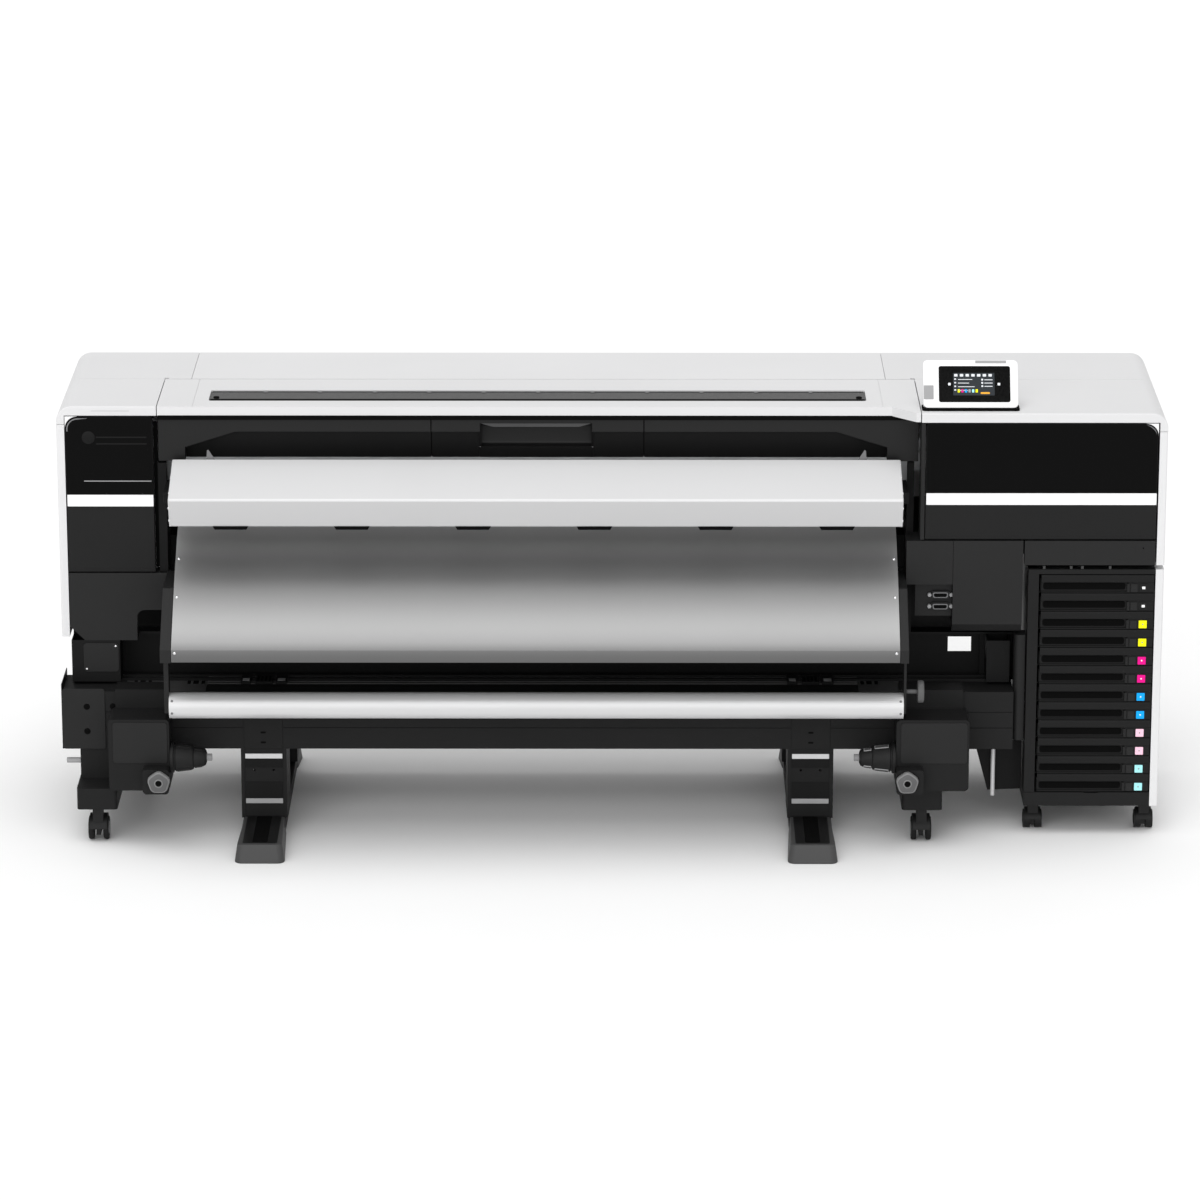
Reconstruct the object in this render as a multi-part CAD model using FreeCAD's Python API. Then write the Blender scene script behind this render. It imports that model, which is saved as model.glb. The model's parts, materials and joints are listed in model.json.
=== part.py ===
import FreeCAD, Part
import math
import os

os.makedirs("parts", exist_ok=True)

# Wide-format roll printer on a stand, with an ink cabinet at its right and a take-up unit in front.
# Millimetres. +X is the operator's right, -Y is the operator's side, +Z is up.
# The origin is on the floor, under the middle of the whole machine.

V = FreeCAD.Vector

# ---------------------------------------------------------------- driving dimensions
HALF_WIDTH = 1477.5        # half of the overall width, outside the side panels
FOOT_REACH = 467.0         # half of the overall depth, at the tips of the feet
TOP_Z = 1176.0             # top surface of the body
SKIN = 4.0                 # wall of a moulded or folded cover
BODY_REAR_Y = 457.0        # back of the body
LEFT_FRONT_Y = -150.0      # front plane of the left half of the body
RIGHT_FRONT_Y = -221.0     # front plane of the right half, which stands further forward
HINGE_Y = 155.0            # seam between the hinged front cover and the fixed rear cover
LIP_Z = 1151.0             # lower edge of the white lip along the front
SIDE_SEAM_Z = 1127.0       # seam between the top covers and the side panels
SIDE_X = 1456.0            # inner side of the side panels' front edges
TOP_EDGE_R = 42.0          # rounding between the top and the sides
COVER_LEFT_X = -1208.0     # ends of the hinged front cover
COVER_RIGHT_X = 822.0
REAR_SEAM_LEFT_X = -1138.0
REAR_SEAM_RIGHT_X = 745.5
MEDIA_X0 = -1160.0         # width of the media path
MEDIA_X1 = 764.0
MEDIA_MID_X = (MEDIA_X0 + MEDIA_X1) / 2
SEAM = 1.2                 # gap between neighbouring covers
FIT = 0.05                 # radial clearance of a running fit

PLATEN_Z = 852.0           # surface that the media lies on under the heads
PLATEN_FRONT_Y = -124.0
GRIT_Y = 85.0              # axis of the feed roller
GRIT_R = 15.0
PINCH_R = 10.0
MEDIA_GAP = 0.4
PINCH_COUNT = 10

BEAM_Y0 = -215.0           # stand beam
BEAM_Y1 = -62.0
BEAM_Z0 = 241.5
BEAM_Z1 = 402.5
LEG_OFFSET = 737.5         # legs stand this far each side of the media's middle
LEG_HALF = 61.5
FOOT_HALF = 68.0
FOOT_TOP_Z = 50.0

CASTER_R = 32.5            # stand casters
CASTER_X = (-1380.0, 837.0)
CASTER_SWIVEL_Y = (-274.0, 274.0)
CASTER_TRAIL = 18.0
CASTER_PLATE_Z = 96.0
SMALL_CASTER_R = 25.0      # cabinet casters
SMALL_CASTER_X = (1145.0, 1446.0)
SMALL_CASTER_Y = (-165.0, 320.0)
SMALL_CASTER_TRAIL = 14.0
SMALL_CASTER_TOP_Z = 82.0

CAB_X0 = 1116.0            # ink cabinet
CAB_X1 = 1455.0
CAB_Z0 = 82.0
CAB_Z1 = 746.0
CAB_REAR_Y = 380.0
CAB_FRONT_Y = -204.0
TRAY_COUNT = 12
TRAY_PITCH = 50.8
TRAY_TOP_Z = 731.3
TRAY_X0 = 1151.0
TRAY_X1 = 1452.0

TAKEUP_AXIS_Y = -300.0     # axis of the take-up core
TAKEUP_AXIS_Z = 245.0
TAKEUP_FRONT_Y = -330.0
TAKEUP_LEFT_X = (-1343.0, -1180.0)
TAKEUP_RIGHT_X = (764.0, 959.0)
KNOB_R = 30.5
KNOB_Z = 200.0
KNOB_X = (-1206.0, 792.0)
CORE_R = 37.6
CORE_REACH = 112.0
CORE_SHAFT_R = 10.0

PANEL_TILT = 60.0          # control panel, degrees up from flat
PANEL_X0 = 830.0
PANEL_X1 = 1081.0
PANEL_LENGTH = 131.0
PANEL_THICK = 20.0
PANEL_BASE_Y = -185.0
PANEL_BASE_Z = 1183.0
PANEL_HINGE_Y = -142.0
PANEL_HINGE_Z = 1193.0
PANEL_PIN_R = 4.0


# ---------------------------------------------------------------- shape helpers
def box(x, y, z):
    """Box between the pairs x, y and z."""
    return Part.makeBox(x[1] - x[0], y[1] - y[0], z[1] - z[0], V(x[0], y[0], z[0]))


def rod(radius, start, end):
    """Round rod between two points."""
    run = V(*end) - V(*start)
    return Part.makeCylinder(radius, run.Length, V(*start), run)


def tube(radius, bore, start, end):
    """Round rod with a concentric hole right through it."""
    return rod(radius, start, end).cut(rod(bore, start, end))


def prism_x(outline, x0, x1):
    """Closed outline of (y, z) points, extruded from x0 to x1."""
    points = [V(x0, y, z) for y, z in outline]
    face = Part.Face(Part.makePolygon(points + points[:1]))
    return face.extrude(V(x1 - x0, 0, 0))


def prism_y(outline, y0, y1):
    """Closed outline of (x, z) points, extruded from y0 to y1."""
    points = [V(x, y0, z) for x, z in outline]
    face = Part.Face(Part.makePolygon(points + points[:1]))
    return face.extrude(V(0, y1 - y0, 0))


def prism_z(outline, z0, z1):
    """Closed outline of (x, y) points, extruded from z0 to z1."""
    points = [V(x, y, z0) for x, y in outline]
    face = Part.Face(Part.makePolygon(points + points[:1]))
    return face.extrude(V(0, 0, z1 - z0))


def offset_line(line, distance):
    """Open line of (y, z) points, moved sideways to its left by distance."""
    moved = []
    for i, (y, z) in enumerate(line):
        before = line[max(i - 1, 0)]
        after = line[min(i + 1, len(line) - 1)]
        normals = []
        for a, b in ((before, (y, z)), ((y, z), after)):
            length = math.hypot(b[0] - a[0], b[1] - a[1])
            if length > 0:
                normals.append(((a[1] - b[1]) / length, (b[0] - a[0]) / length))
        ny = sum(n[0] for n in normals) / len(normals)
        nz = sum(n[1] for n in normals) / len(normals)
        scale = distance / (ny * ny + nz * nz)
        moved.append((y + ny * scale, z + nz * scale))
    return moved


def sheet_x(line, thickness, x0, x1):
    """Folded sheet: an open (y, z) line given a thickness to its left, extruded along X."""
    return prism_x(line + offset_line(line, thickness)[::-1], x0, x1)


def plates_x(line, thickness, x0, x1):
    """Curved sheet as flat plates with mitred joints, one per segment of an open (y, z) line."""
    back = offset_line(line, thickness)
    plates = []
    for i in range(len(line) - 1):
        plates.append(prism_x([line[i], line[i + 1], back[i + 1], back[i]], x0, x1))
    return plates


def round_edges(shape, radius, wanted):
    """Fillet of the straight edges for which wanted(middle, direction) is true."""
    edges = []
    for edge in shape.Edges:
        if len(edge.Vertexes) == 2 and isinstance(edge.Curve, Part.Line):
            run = edge.Vertexes[1].Point - edge.Vertexes[0].Point
            middle = edge.Vertexes[0].Point + run * 0.5
            if wanted(middle, run.normalize()):
                edges.append(edge)
    return shape.makeFillet(radius, edges)


def along(direction, axis):
    """True if an edge's direction is parallel to axis 0, 1 or 2."""
    return abs(direction[axis]) > 0.999


def rounded_box(x, y, z, radius, axis):
    """Box with its four edges along one axis rounded."""
    return round_edges(box(x, y, z), radius, lambda m, d: along(d, axis))


def hollow_box(x, y, z, wall, open_axis, open_low):
    """Box with walls on five sides, open at the low or high end of one axis."""
    spans = [list(x), list(y), list(z)]
    for axis, span in enumerate(spans):
        if axis == open_axis:
            span[0] += -wall if open_low else wall
            span[1] += -wall if open_low else wall
        else:
            span[0] += wall
            span[1] -= wall
    return box(x, y, z).cut(box(*spans))


def bar(x, y, z, wall, axis):
    """Rectangular tube that runs along one axis, open at both ends."""
    spans = [list(x), list(y), list(z)]
    for i, span in enumerate(spans):
        grow = wall if i != axis else -1
        span[0] += grow
        span[1] -= grow
    return box(x, y, z).cut(box(*spans))


def join(*shapes):
    """One solid from touching or overlapping ones."""
    return shapes[0].multiFuse(list(shapes[1:])).removeSplitter()


def turned(shape, point, axis, degrees):
    """Copy of a shape, turned about an axis through a point."""
    copy = shape.copy()
    copy.rotate(V(*point), V(*axis), degrees)
    return copy


def save(node, *shapes):
    """Write one node from one or more separate solids."""
    shape = shapes[0] if len(shapes) == 1 else Part.makeCompound(list(shapes))
    shape.exportStep("parts/" + node + ".step")


# ---------------------------------------------------------------- stand
LEG_X = (MEDIA_MID_X - LEG_OFFSET, MEDIA_MID_X + LEG_OFFSET)
LEG_WALL = 9.0
LEG_REAR_Y = -66.0
FOOT_BEAM_Z = (10.0, 46.0)
FOOT_BEAM_Y = 430.0
POST_Y = (276.0, 356.0)
RAIL_Z = (170.0, 232.0)


def stand_beam():
    """Closed box beam with a raised rail along its top, end plates and bracket blocks."""
    x0, x1 = -1475.0, 1081.0
    wall = 5.0
    body = box((x0, x1), (BEAM_Y0, BEAM_Y1), (BEAM_Z0, BEAM_Z1))
    body = body.cut(box((x0 - 1, x1 + 1), (BEAM_Y0 + wall, BEAM_Y1 - wall), (BEAM_Z0 + wall, BEAM_Z1 - wall)))
    for groove_z in (300.0, 344.0):
        body = body.cut(box((x0 - 1, x1 + 1), (BEAM_Y0 - 1, BEAM_Y0 + 2), (groove_z, groove_z + 3)))
    rails = [box((x0 + 20, x1 - 20), (y, y + 10), (BEAM_Z1, BEAM_Z1 + 8)) for y in (-120.0, -86.0)]
    plate = box((x0 - 2, x0), (BEAM_Y0, BEAM_Y1), (BEAM_Z0, BEAM_Z1 + 20))
    for y, z in ((-190.0, 380.0), (-110.0, 380.0), (-190.0, 300.0)):
        plate = plate.cut(rod(6.0, (x0 - 3, y, z), (x0 + 1, y, z)))
    cap = box((x1, x1 + 2), (BEAM_Y0, BEAM_Y1), (BEAM_Z0, BEAM_Z1))
    return [join(body, *rails), plate, cap]


def leg(x_mid):
    """Column under the beam: two flanges, cross plates with slots between them, and a rear post."""
    x0, x1 = x_mid - LEG_HALF, x_mid + LEG_HALF
    solids = []
    for a, b in ((x0, x0 + LEG_WALL), (x1 - LEG_WALL, x1)):
        solids.append(box((a, b), (BEAM_Y0, LEG_REAR_Y), (FOOT_BEAM_Z[1], BEAM_Z0)))
    inner = (x0 + LEG_WALL, x1 - LEG_WALL)
    cross = box(inner, (BEAM_Y0 + 3, BEAM_Y0 + 7), (FOOT_BEAM_Z[1], BEAM_Z0))
    for z in (96.0, 214.0):
        cross = cross.cut(box((x0 + 22, x1 - 22), (BEAM_Y0, BEAM_Y0 + 10), (z, z + 12)))
    for x in (x_mid - 26, x_mid + 26):
        cross = cross.cut(rod(3.5, (x, BEAM_Y0, 180.0), (x, BEAM_Y0 + 10, 180.0)))
    solids.append(cross)
    solids.append(bar((x0, x1), POST_Y, (FOOT_BEAM_Z[1], RAIL_Z[0]), 4.0, 2))
    solids.append(bar((x0 + 5, x1 - 5), (-FOOT_BEAM_Y, FOOT_BEAM_Y), FOOT_BEAM_Z, 4.0, 1))
    return solids


def caster_arm(x_mid, swivel_y):
    """Arm from the beam, or from the rear rail, out over one caster, with the stem's bore."""
    half = 54.0
    low, high = CASTER_PLATE_Z + 1.0, 156.0
    if swivel_y < 0:
        ends = (swivel_y - 28, BEAM_Y1)
    else:
        ends = (BEAM_Y1 + 2, swivel_y + 34)
    arm = rounded_box((x_mid - half, x_mid + half), ends, (low, high), 10.0, 2)
    arm = arm.cut(rod(8 + FIT, (x_mid, swivel_y, low - 1), (x_mid, swivel_y, low + 40)))
    web_y = (BEAM_Y0 + 4, BEAM_Y1 - 4) if swivel_y < 0 else (POST_Y[0] - 30, POST_Y[0])
    web_z = (high, BEAM_Z0 if swivel_y < 0 else RAIL_Z[0] + 8)
    return [arm, bar((x_mid - half + 4, x_mid + half - 4), web_y, web_z, 4.0, 2)]


def stand_foot(x_mid, side):
    """Moulded boot over one end of a foot beam; side is -1 in front and +1 behind."""
    tip, heel = side * FOOT_REACH, (POST_Y[1] + 2.0 if side > 0 else BEAM_Y0 - 3.0)
    outline = [(tip, 0), (tip, 30), (tip - side * 14, FOOT_TOP_Z), (heel, FOOT_TOP_Z), (heel, 0)]
    boot = prism_x(outline, x_mid - FOOT_HALF, x_mid + FOOT_HALF)
    boot = round_edges(boot, 16.0, lambda m, d: along(d, 2) and abs(m.y - tip) < 1)
    groove = box((x_mid - 44, x_mid + 44), sorted((tip - side * 60, heel - side * 1)),
                 (FOOT_TOP_Z - 4, FOOT_TOP_Z + 1))
    beam_space = box((x_mid - LEG_HALF + 5, x_mid + LEG_HALF - 5),
                     sorted((side * FOOT_BEAM_Y, heel - side)), FOOT_BEAM_Z)
    return boot.cut(groove).cut(beam_space)


def build_stand():
    save("stand_beam", *stand_beam())
    frame = []
    for x in LEG_X:
        frame += leg(x)
    for x in CASTER_X:
        for y in CASTER_SWIVEL_Y:
            frame += caster_arm(x, y)
    save("stand_frame", *frame)
    save("stand_feet", *[stand_foot(x, side) for x in LEG_X for side in (-1, 1)])


# ---------------------------------------------------------------- chassis and inner works
UPRIGHT_Z = (BEAM_Z1 + 8.0, 527.0)
PAN_Z = (527.0, 533.0)
END_FRAME_TOP_Z = 845.0
RAIL_BEAM_Y = (176.0, 246.0)
RAIL_BEAM_Z = (915.0, 1005.0)
GUIDE_Y = (158.0, 176.0)
GUIDE_Z = (950.0, 970.0)
CARRIAGE_X = (862.0, 1142.0)
GRIT_Z = PLATEN_Z + 1.0 - GRIT_R
PINCH_Z = GRIT_Z + GRIT_R + MEDIA_GAP + PINCH_R
JOURNAL_R = 6.0
BEARING_X = (MEDIA_X0 - 22.0, MEDIA_X1 + 6.0)
BEARING_W = 16.0


def chassis():
    """Folded steel frame: floor pans, end frames, cross members, uprights and bearing blocks."""
    solids = []
    for x in ((-1452.0, -1322.0), (1013.0, 1075.0)):
        solids.append(bar(x, (-150.0, -70.0), UPRIGHT_Z, 4.0, 2))
    for x in ((-1345.0, -1240.0), (-60.0, 0.0), (766.0, 826.0)):
        solids.append(bar(x, (300.0, 352.0), (RAIL_Z[1], PAN_Z[0]), 4.0, 2))
    solids.append(box((-1452.0, 1100.0), (-88.0, -40.0), PAN_Z))
    solids.append(box((-1452.0, 1100.0), (290.0, 420.0), PAN_Z))
    for x, front in (((-1210.0, -1188.0), -138.0), ((793.0, 811.0), -130.0)):
        solids.append(bar(x, (-88.0, 440.0), (PAN_Z[1], 716.0), 3.0, 2))
        solids.append(bar(x, (front, 440.0), (716.0, END_FRAME_TOP_Z), 3.0, 2))
        solids.append(bar(x, (front, -104.0), (END_FRAME_TOP_Z, 1018.0), 3.0, 2))
    solids.append(box((-1452.0, -1444.0), (-86.0, 440.0), (PAN_Z[1], 1110.0)))
    solids.append(box((1444.0, 1452.0), (-190.0, 440.0), (764.0, 1110.0)))
    solids.append(box((811.0, 1444.0), (-129.0, 440.0), (764.0, 770.0)))
    solids.append(bar((-1188.0, 793.0), (-36.0, 40.0), (700.0, 790.0), 4.0, 0))
    solids.append(bar((-1188.0, 793.0), (300.0, 420.0), (560.0, 640.0), 4.0, 0))
    solids += lower_panels()
    for x in BEARING_X:
        block = box((x, x + BEARING_W), (GRIT_Y - 22, GRIT_Y + 22), (790.0, PLATEN_Z - 1))
        block = block.cut(rod(JOURNAL_R + FIT, (x - 1, GRIT_Y, GRIT_Z), (x + BEARING_W + 1, GRIT_Y, GRIT_Z)))
        solids.append(block)
        solids.append(box((x, x + BEARING_W), (40.0, GRIT_Y + 22), (700.0, 790.0)))
    return solids


def lower_panels():
    """Dark sheet behind the heated guide and the beam, with a service window at its right end."""
    y = (-40.0, -36.2)
    window_x, window_z = (915.0, 978.0), (464.0, 506.0)
    return [box((-1452.0, window_x[0]), y, (300.0, UPRIGHT_Z[1])),
            box((window_x[0], 1013.0), y, (300.0, window_z[0])),
            box((window_x[1], 1013.0), y, window_z),
            box((window_x[0], 1100.0), y, (window_z[1], UPRIGHT_Z[1])),
            box((-1188.0, 793.0), y, (PAN_Z[1], 700.0)),
            box((811.0, 1100.0), y, (PAN_Z[1], 764.0))]


def capping_station():
    """Head maintenance unit that the parked carriage rests over: a tray, caps and a wiper."""
    tray = hollow_box((880.0, 1120.0), (-70.0, 60.0), (790.0, 836.0), 3.0, 2, False)
    caps = [rounded_box((x, x + 62), (-50.0, 40.0), (793.0, 850.0), 8.0, 2) for x in (896.0, 970.0, 1044.0)]
    wiper = box((884.0, 887.0), (-50.0, 40.0), (793.0, 852.0))
    post = box((960.0, 1040.0), (-50.0, 40.0), (770.0, 790.0))
    return [tray, post, wiper] + caps


def carriage_rail():
    """Aluminium beam with a linear guide along its front, and end brackets."""
    beam = box((-1440.0, 1440.0), RAIL_BEAM_Y, RAIL_BEAM_Z)
    beam = beam.cut(box((-1441.0, 1441.0), (RAIL_BEAM_Y[0] + 6, RAIL_BEAM_Y[1] - 6),
                        (RAIL_BEAM_Z[0] + 6, RAIL_BEAM_Z[1] - 6)))
    guide = box((-1440.0, 1440.0), GUIDE_Y, GUIDE_Z)
    feet = [box((x, x + 19), (RAIL_BEAM_Y[0], RAIL_BEAM_Y[1]), (END_FRAME_TOP_Z, RAIL_BEAM_Z[0]))
            for x in (-1208.0, 792.0)]
    return [beam, guide] + feet


def carriage():
    """Print carriage parked at the right: head block, electronics case and guide shoe."""
    heads = box(CARRIAGE_X, (-60.0, 48.0), (PLATEN_Z + 4, 930.0))
    case = rounded_box(CARRIAGE_X, (-60.0, 146.0), (930.0, 1058.0), 10.0, 1)
    shoe_x = (CARRIAGE_X[0] + 20, CARRIAGE_X[1] - 20)
    shoe_top = box(shoe_x, (146.0, GUIDE_Y[1] - 2), (GUIDE_Z[1] + 0.3, GUIDE_Z[1] + 16))
    shoe_low = box(shoe_x, (146.0, GUIDE_Y[1] - 2), (GUIDE_Z[0] - 16, GUIDE_Z[0] - 0.3))
    shoe_front = box(shoe_x, (146.0, GUIDE_Y[0] - 0.3), (GUIDE_Z[0] - 0.3, GUIDE_Z[1] + 0.3))
    return [heads, case, join(shoe_top, shoe_low, shoe_front)]


def grit_roller():
    """Feed roller with a journal at each end."""
    body = rod(GRIT_R, (MEDIA_X0, GRIT_Y, GRIT_Z), (MEDIA_X1, GRIT_Y, GRIT_Z))
    journal = rod(JOURNAL_R, (BEARING_X[0] - 2, GRIT_Y, GRIT_Z),
                  (BEARING_X[1] + BEARING_W + 2, GRIT_Y, GRIT_Z))
    return join(body, journal)


def pinch_rollers():
    """Row of rubber rollers on one axle, pressing the media on the feed roller."""
    pitch = (MEDIA_X1 - MEDIA_X0 - 120) / (PINCH_COUNT - 1)
    axle = rod(3.0, (MEDIA_X0, GRIT_Y, PINCH_Z), (MEDIA_X1, GRIT_Y, PINCH_Z))
    wheels = []
    for i in range(PINCH_COUNT):
        x = MEDIA_X0 + 30 + pitch * i
        wheels.append(rod(PINCH_R, (x, GRIT_Y, PINCH_Z), (x + 60, GRIT_Y, PINCH_Z)))
    return join(axle, *wheels)


def platen():
    """Slotted support plate under the heads, the curved inlet guide behind it and the pinch arms."""
    front = box((MEDIA_X0, MEDIA_X1), (PLATEN_FRONT_Y + 1, GRIT_Y - GRIT_R - 2), (PLATEN_Z - 8, PLATEN_Z))
    ribs = [box((MEDIA_X0, MEDIA_X1), (y, y + 8), (790.0, PLATEN_Z - 8)) for y in (-34.0, 30.0)]
    inlet = plates_x([(380.0, 660.0), (352.0, 750.0), (290.0, 812.0), (205.0, 846.0),
                      (GRIT_Y + GRIT_R + 3, PLATEN_Z)], 2.0, MEDIA_X0, MEDIA_X1)
    stays = [box((x, x + 10), (205.0, 296.0), (640.0, 800.0))
             for x in (MEDIA_X0 + 4, MEDIA_MID_X, MEDIA_X1 - 14)]
    pitch = (MEDIA_X1 - MEDIA_X0 - 120) / (PINCH_COUNT - 1)
    arms = []
    for i in range(PINCH_COUNT - 1):
        x = MEDIA_X0 + 90 + pitch * (i + 0.5) - 36
        arm = box((x, x + 12), (GRIT_Y - 8, 170.0), (PINCH_Z - 7, PINCH_Z + 30))
        arm = arm.cut(rod(3.0 + FIT, (x - 1, GRIT_Y, PINCH_Z), (x + 13, GRIT_Y, PINCH_Z)))
        arms.append(arm)
        arms.append(box((x, x + 12), (170.0, RAIL_BEAM_Y[1] - 6), (PINCH_Z + 6, RAIL_BEAM_Z[0])))
    return [front] + inlet + ribs + stays + arms


def build_inner_works():
    save("chassis", *(chassis() + capping_station()))
    save("carriage_rail", *carriage_rail())
    save("carriage", *carriage())
    save("grit_roller", grit_roller())
    save("pinch_rollers", pinch_rollers())
    save("platen", *platen())


# ---------------------------------------------------------------- body covers
PIN_Y = HINGE_Y + 1.0      # hinge pins of the front cover
PIN_Z = TOP_Z - 5.0
PIN_R = 2.5
WINDOW_X = (-1075.0, 683.0)
WINDOW_Y = (-86.0, 30.0)
HANDLE_X = (-349.0, -48.0)
HANDLE_Z = (1059.0, 1134.0)


def side_panel(side, front_y, z):
    """Dished outer panel; side is -1 at the left and +1 at the right."""
    outer_x, inner_x = side * HALF_WIDTH, side * SIDE_X
    shell = box(sorted((outer_x, inner_x)), (front_y, BODY_REAR_Y), z)
    hollow = box(sorted((outer_x - side * SKIN, inner_x - side)),
                 (front_y + SKIN, BODY_REAR_Y - SKIN), (z[0] + SKIN, z[1] - SKIN))
    shell = shell.cut(hollow)
    return round_edges(shell, 5.0, lambda m, d: along(d, 2) and abs(m.x - outer_x) < 1)


def top_cover(side, inner_x, rear_inner_x, front_y):
    """Top cover at one end, with its rounded outer edge, front lip and the front cover's hinge hole."""
    outer_x = side * HALF_WIDTH
    outer = box(sorted((outer_x, inner_x)), (front_y, BODY_REAR_Y), (SIDE_SEAM_Z, TOP_Z))
    outer = round_edges(outer, TOP_EDGE_R, lambda m, d: along(d, 1) and abs(m.x - outer_x) < 1
                        and m.z > TOP_Z - 1)
    inner = box(sorted((outer_x - side * SKIN, inner_x + side * SKIN)),
                (front_y + SKIN, BODY_REAR_Y - SKIN), (SIDE_SEAM_Z - 1, TOP_Z - SKIN))
    inner = round_edges(inner, TOP_EDGE_R - SKIN,
                        lambda m, d: along(d, 1) and abs(m.x - outer_x) < SKIN + 1 and m.z > TOP_Z - SKIN - 1)
    shell = outer.cut(inner)
    front_opening = box(sorted((side * SIDE_X, inner_x - side)), (front_y - 1, front_y + SKIN + 1),
                        (SIDE_SEAM_Z - 1, LIP_Z))
    side_opening = box(sorted((inner_x + side * (SKIN + 1), inner_x - side)),
                       (front_y - 1, BODY_REAR_Y - SKIN),
                       (SIDE_SEAM_Z - 1, LIP_Z))
    shell = shell.cut(front_opening).cut(side_opening)
    wing = box(sorted((inner_x, rear_inner_x)), (HINGE_Y + 0.3, BODY_REAR_Y), (TOP_Z - SKIN, TOP_Z))
    wing_back = box(sorted((inner_x, rear_inner_x)), (BODY_REAR_Y - SKIN, BODY_REAR_Y), (SIDE_SEAM_Z, TOP_Z))
    shell = join(shell, wing, wing_back)
    notch = box(sorted((inner_x, inner_x - side * 12)), (HINGE_Y - 1, HINGE_Y + 12),
                (TOP_Z - SKIN - 1, TOP_Z + 1))
    hole = rod(PIN_R + FIT, (inner_x - side, PIN_Y, PIN_Z), (inner_x + side * (SKIN + 1), PIN_Y, PIN_Z))
    crease = box(sorted((outer_x, inner_x)), (HINGE_Y - 0.8, HINGE_Y + 0.8), (TOP_Z - 1.5, TOP_Z + 1))
    shell = shell.cut(notch).cut(hole).cut(crease)
    return round_edges(shell, 3.0, lambda m, d: along(d, 0) and m.z > TOP_Z - 1 and abs(m.y - front_y) < 1)


def panel_base():
    """Hinge base of the control panel: a plinth, two ears and the pin."""
    plinth = rounded_box((866.0, 1046.0), (-160.0, -112.0), (TOP_Z, TOP_Z + 5), 8.0, 2)
    ears = []
    for x in (884.0, 1018.0):
        ears.append(box((x, x + 10), (PANEL_HINGE_Y - 8, PANEL_HINGE_Y + 8), (TOP_Z + 5, PANEL_HINGE_Z)))
        ears.append(rod(8.0, (x, PANEL_HINGE_Y, PANEL_HINGE_Z), (x + 10, PANEL_HINGE_Y, PANEL_HINGE_Z)))
    pin = rod(PANEL_PIN_R, (884.0, PANEL_HINGE_Y, PANEL_HINGE_Z), (1028.0, PANEL_HINGE_Y, PANEL_HINGE_Z))
    return join(plinth, pin, *ears)


def rear_cover():
    """Top sheet behind the hinge seam, the middle of the back wall, and the two back wings."""
    x = (REAR_SEAM_LEFT_X + SEAM, REAR_SEAM_RIGHT_X - SEAM)
    top = box(x, (HINGE_Y + 0.3, BODY_REAR_Y), (TOP_Z - SKIN, TOP_Z))
    middle = box(x, (BODY_REAR_Y - SKIN, BODY_REAR_Y), (700.0, TOP_Z - SKIN))
    left = box((-SIDE_X, x[0] - SEAM), (BODY_REAR_Y - SKIN, BODY_REAR_Y), (540.0, SIDE_SEAM_Z - SEAM))
    right = box((x[1] + SEAM, SIDE_X), (BODY_REAR_Y - SKIN, BODY_REAR_Y), (764.0, SIDE_SEAM_Z - SEAM))
    vents = []
    for i in range(9):
        z = 900.0 + 14.0 * i
        vents.append(box((940.0, 1320.0), (BODY_REAR_Y - SKIN - 1, BODY_REAR_Y + 1), (z, z + 5)))
    for cutter in vents:
        right = right.cut(cutter)
    return [top, middle, left, right]


def front_cover_frame():
    """White frame of the hinged cover: top sheet with the window cut-out, front lip and hinge ears."""
    plate = box((COVER_LEFT_X, COVER_RIGHT_X), (LEFT_FRONT_Y, HINGE_Y - 4), (TOP_Z - SKIN, TOP_Z))
    window = rounded_box(WINDOW_X, WINDOW_Y, (TOP_Z - SKIN - 1, TOP_Z + 1), 9.0, 2)
    lip = box((COVER_LEFT_X, COVER_RIGHT_X), (LEFT_FRONT_Y, LEFT_FRONT_Y + SKIN), (LIP_Z, TOP_Z))
    flare = prism_z([(COVER_RIGHT_X - 74, LEFT_FRONT_Y), (COVER_RIGHT_X - 12, RIGHT_FRONT_Y + 6),
                     (COVER_RIGHT_X, RIGHT_FRONT_Y + 6), (COVER_RIGHT_X, LEFT_FRONT_Y)], LIP_Z, TOP_Z)
    flare_hollow = prism_z([(COVER_RIGHT_X - 64, LEFT_FRONT_Y + SKIN + 1),
                            (COVER_RIGHT_X - 10, RIGHT_FRONT_Y + 11),
                            (COVER_RIGHT_X - SKIN, RIGHT_FRONT_Y + 11),
                            (COVER_RIGHT_X - SKIN, LEFT_FRONT_Y + SKIN + 1)], LIP_Z - 1, TOP_Z - SKIN)
    shell = join(plate.cut(window), lip, flare).cut(flare_hollow)
    ears = []
    for side, x in ((-1, COVER_LEFT_X), (1, COVER_RIGHT_X)):
        ear_x = sorted((x, x - side * 6))
        ears.append(box(ear_x, (HINGE_Y - 16, PIN_Y + 5), (PIN_Z - 5, TOP_Z - SKIN)))
        ears.append(rod(PIN_R, (x - side, PIN_Y, PIN_Z), (x + side * 5, PIN_Y, PIN_Z)))
    shell = join(shell, *ears)
    for x in (-1114.0, 724.0):
        shell = shell.cut(box((x - 0.8, x + 0.8), (LEFT_FRONT_Y - 1, HINGE_Y), (TOP_Z - 1.5, TOP_Z + 1)))
    return shell


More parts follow.
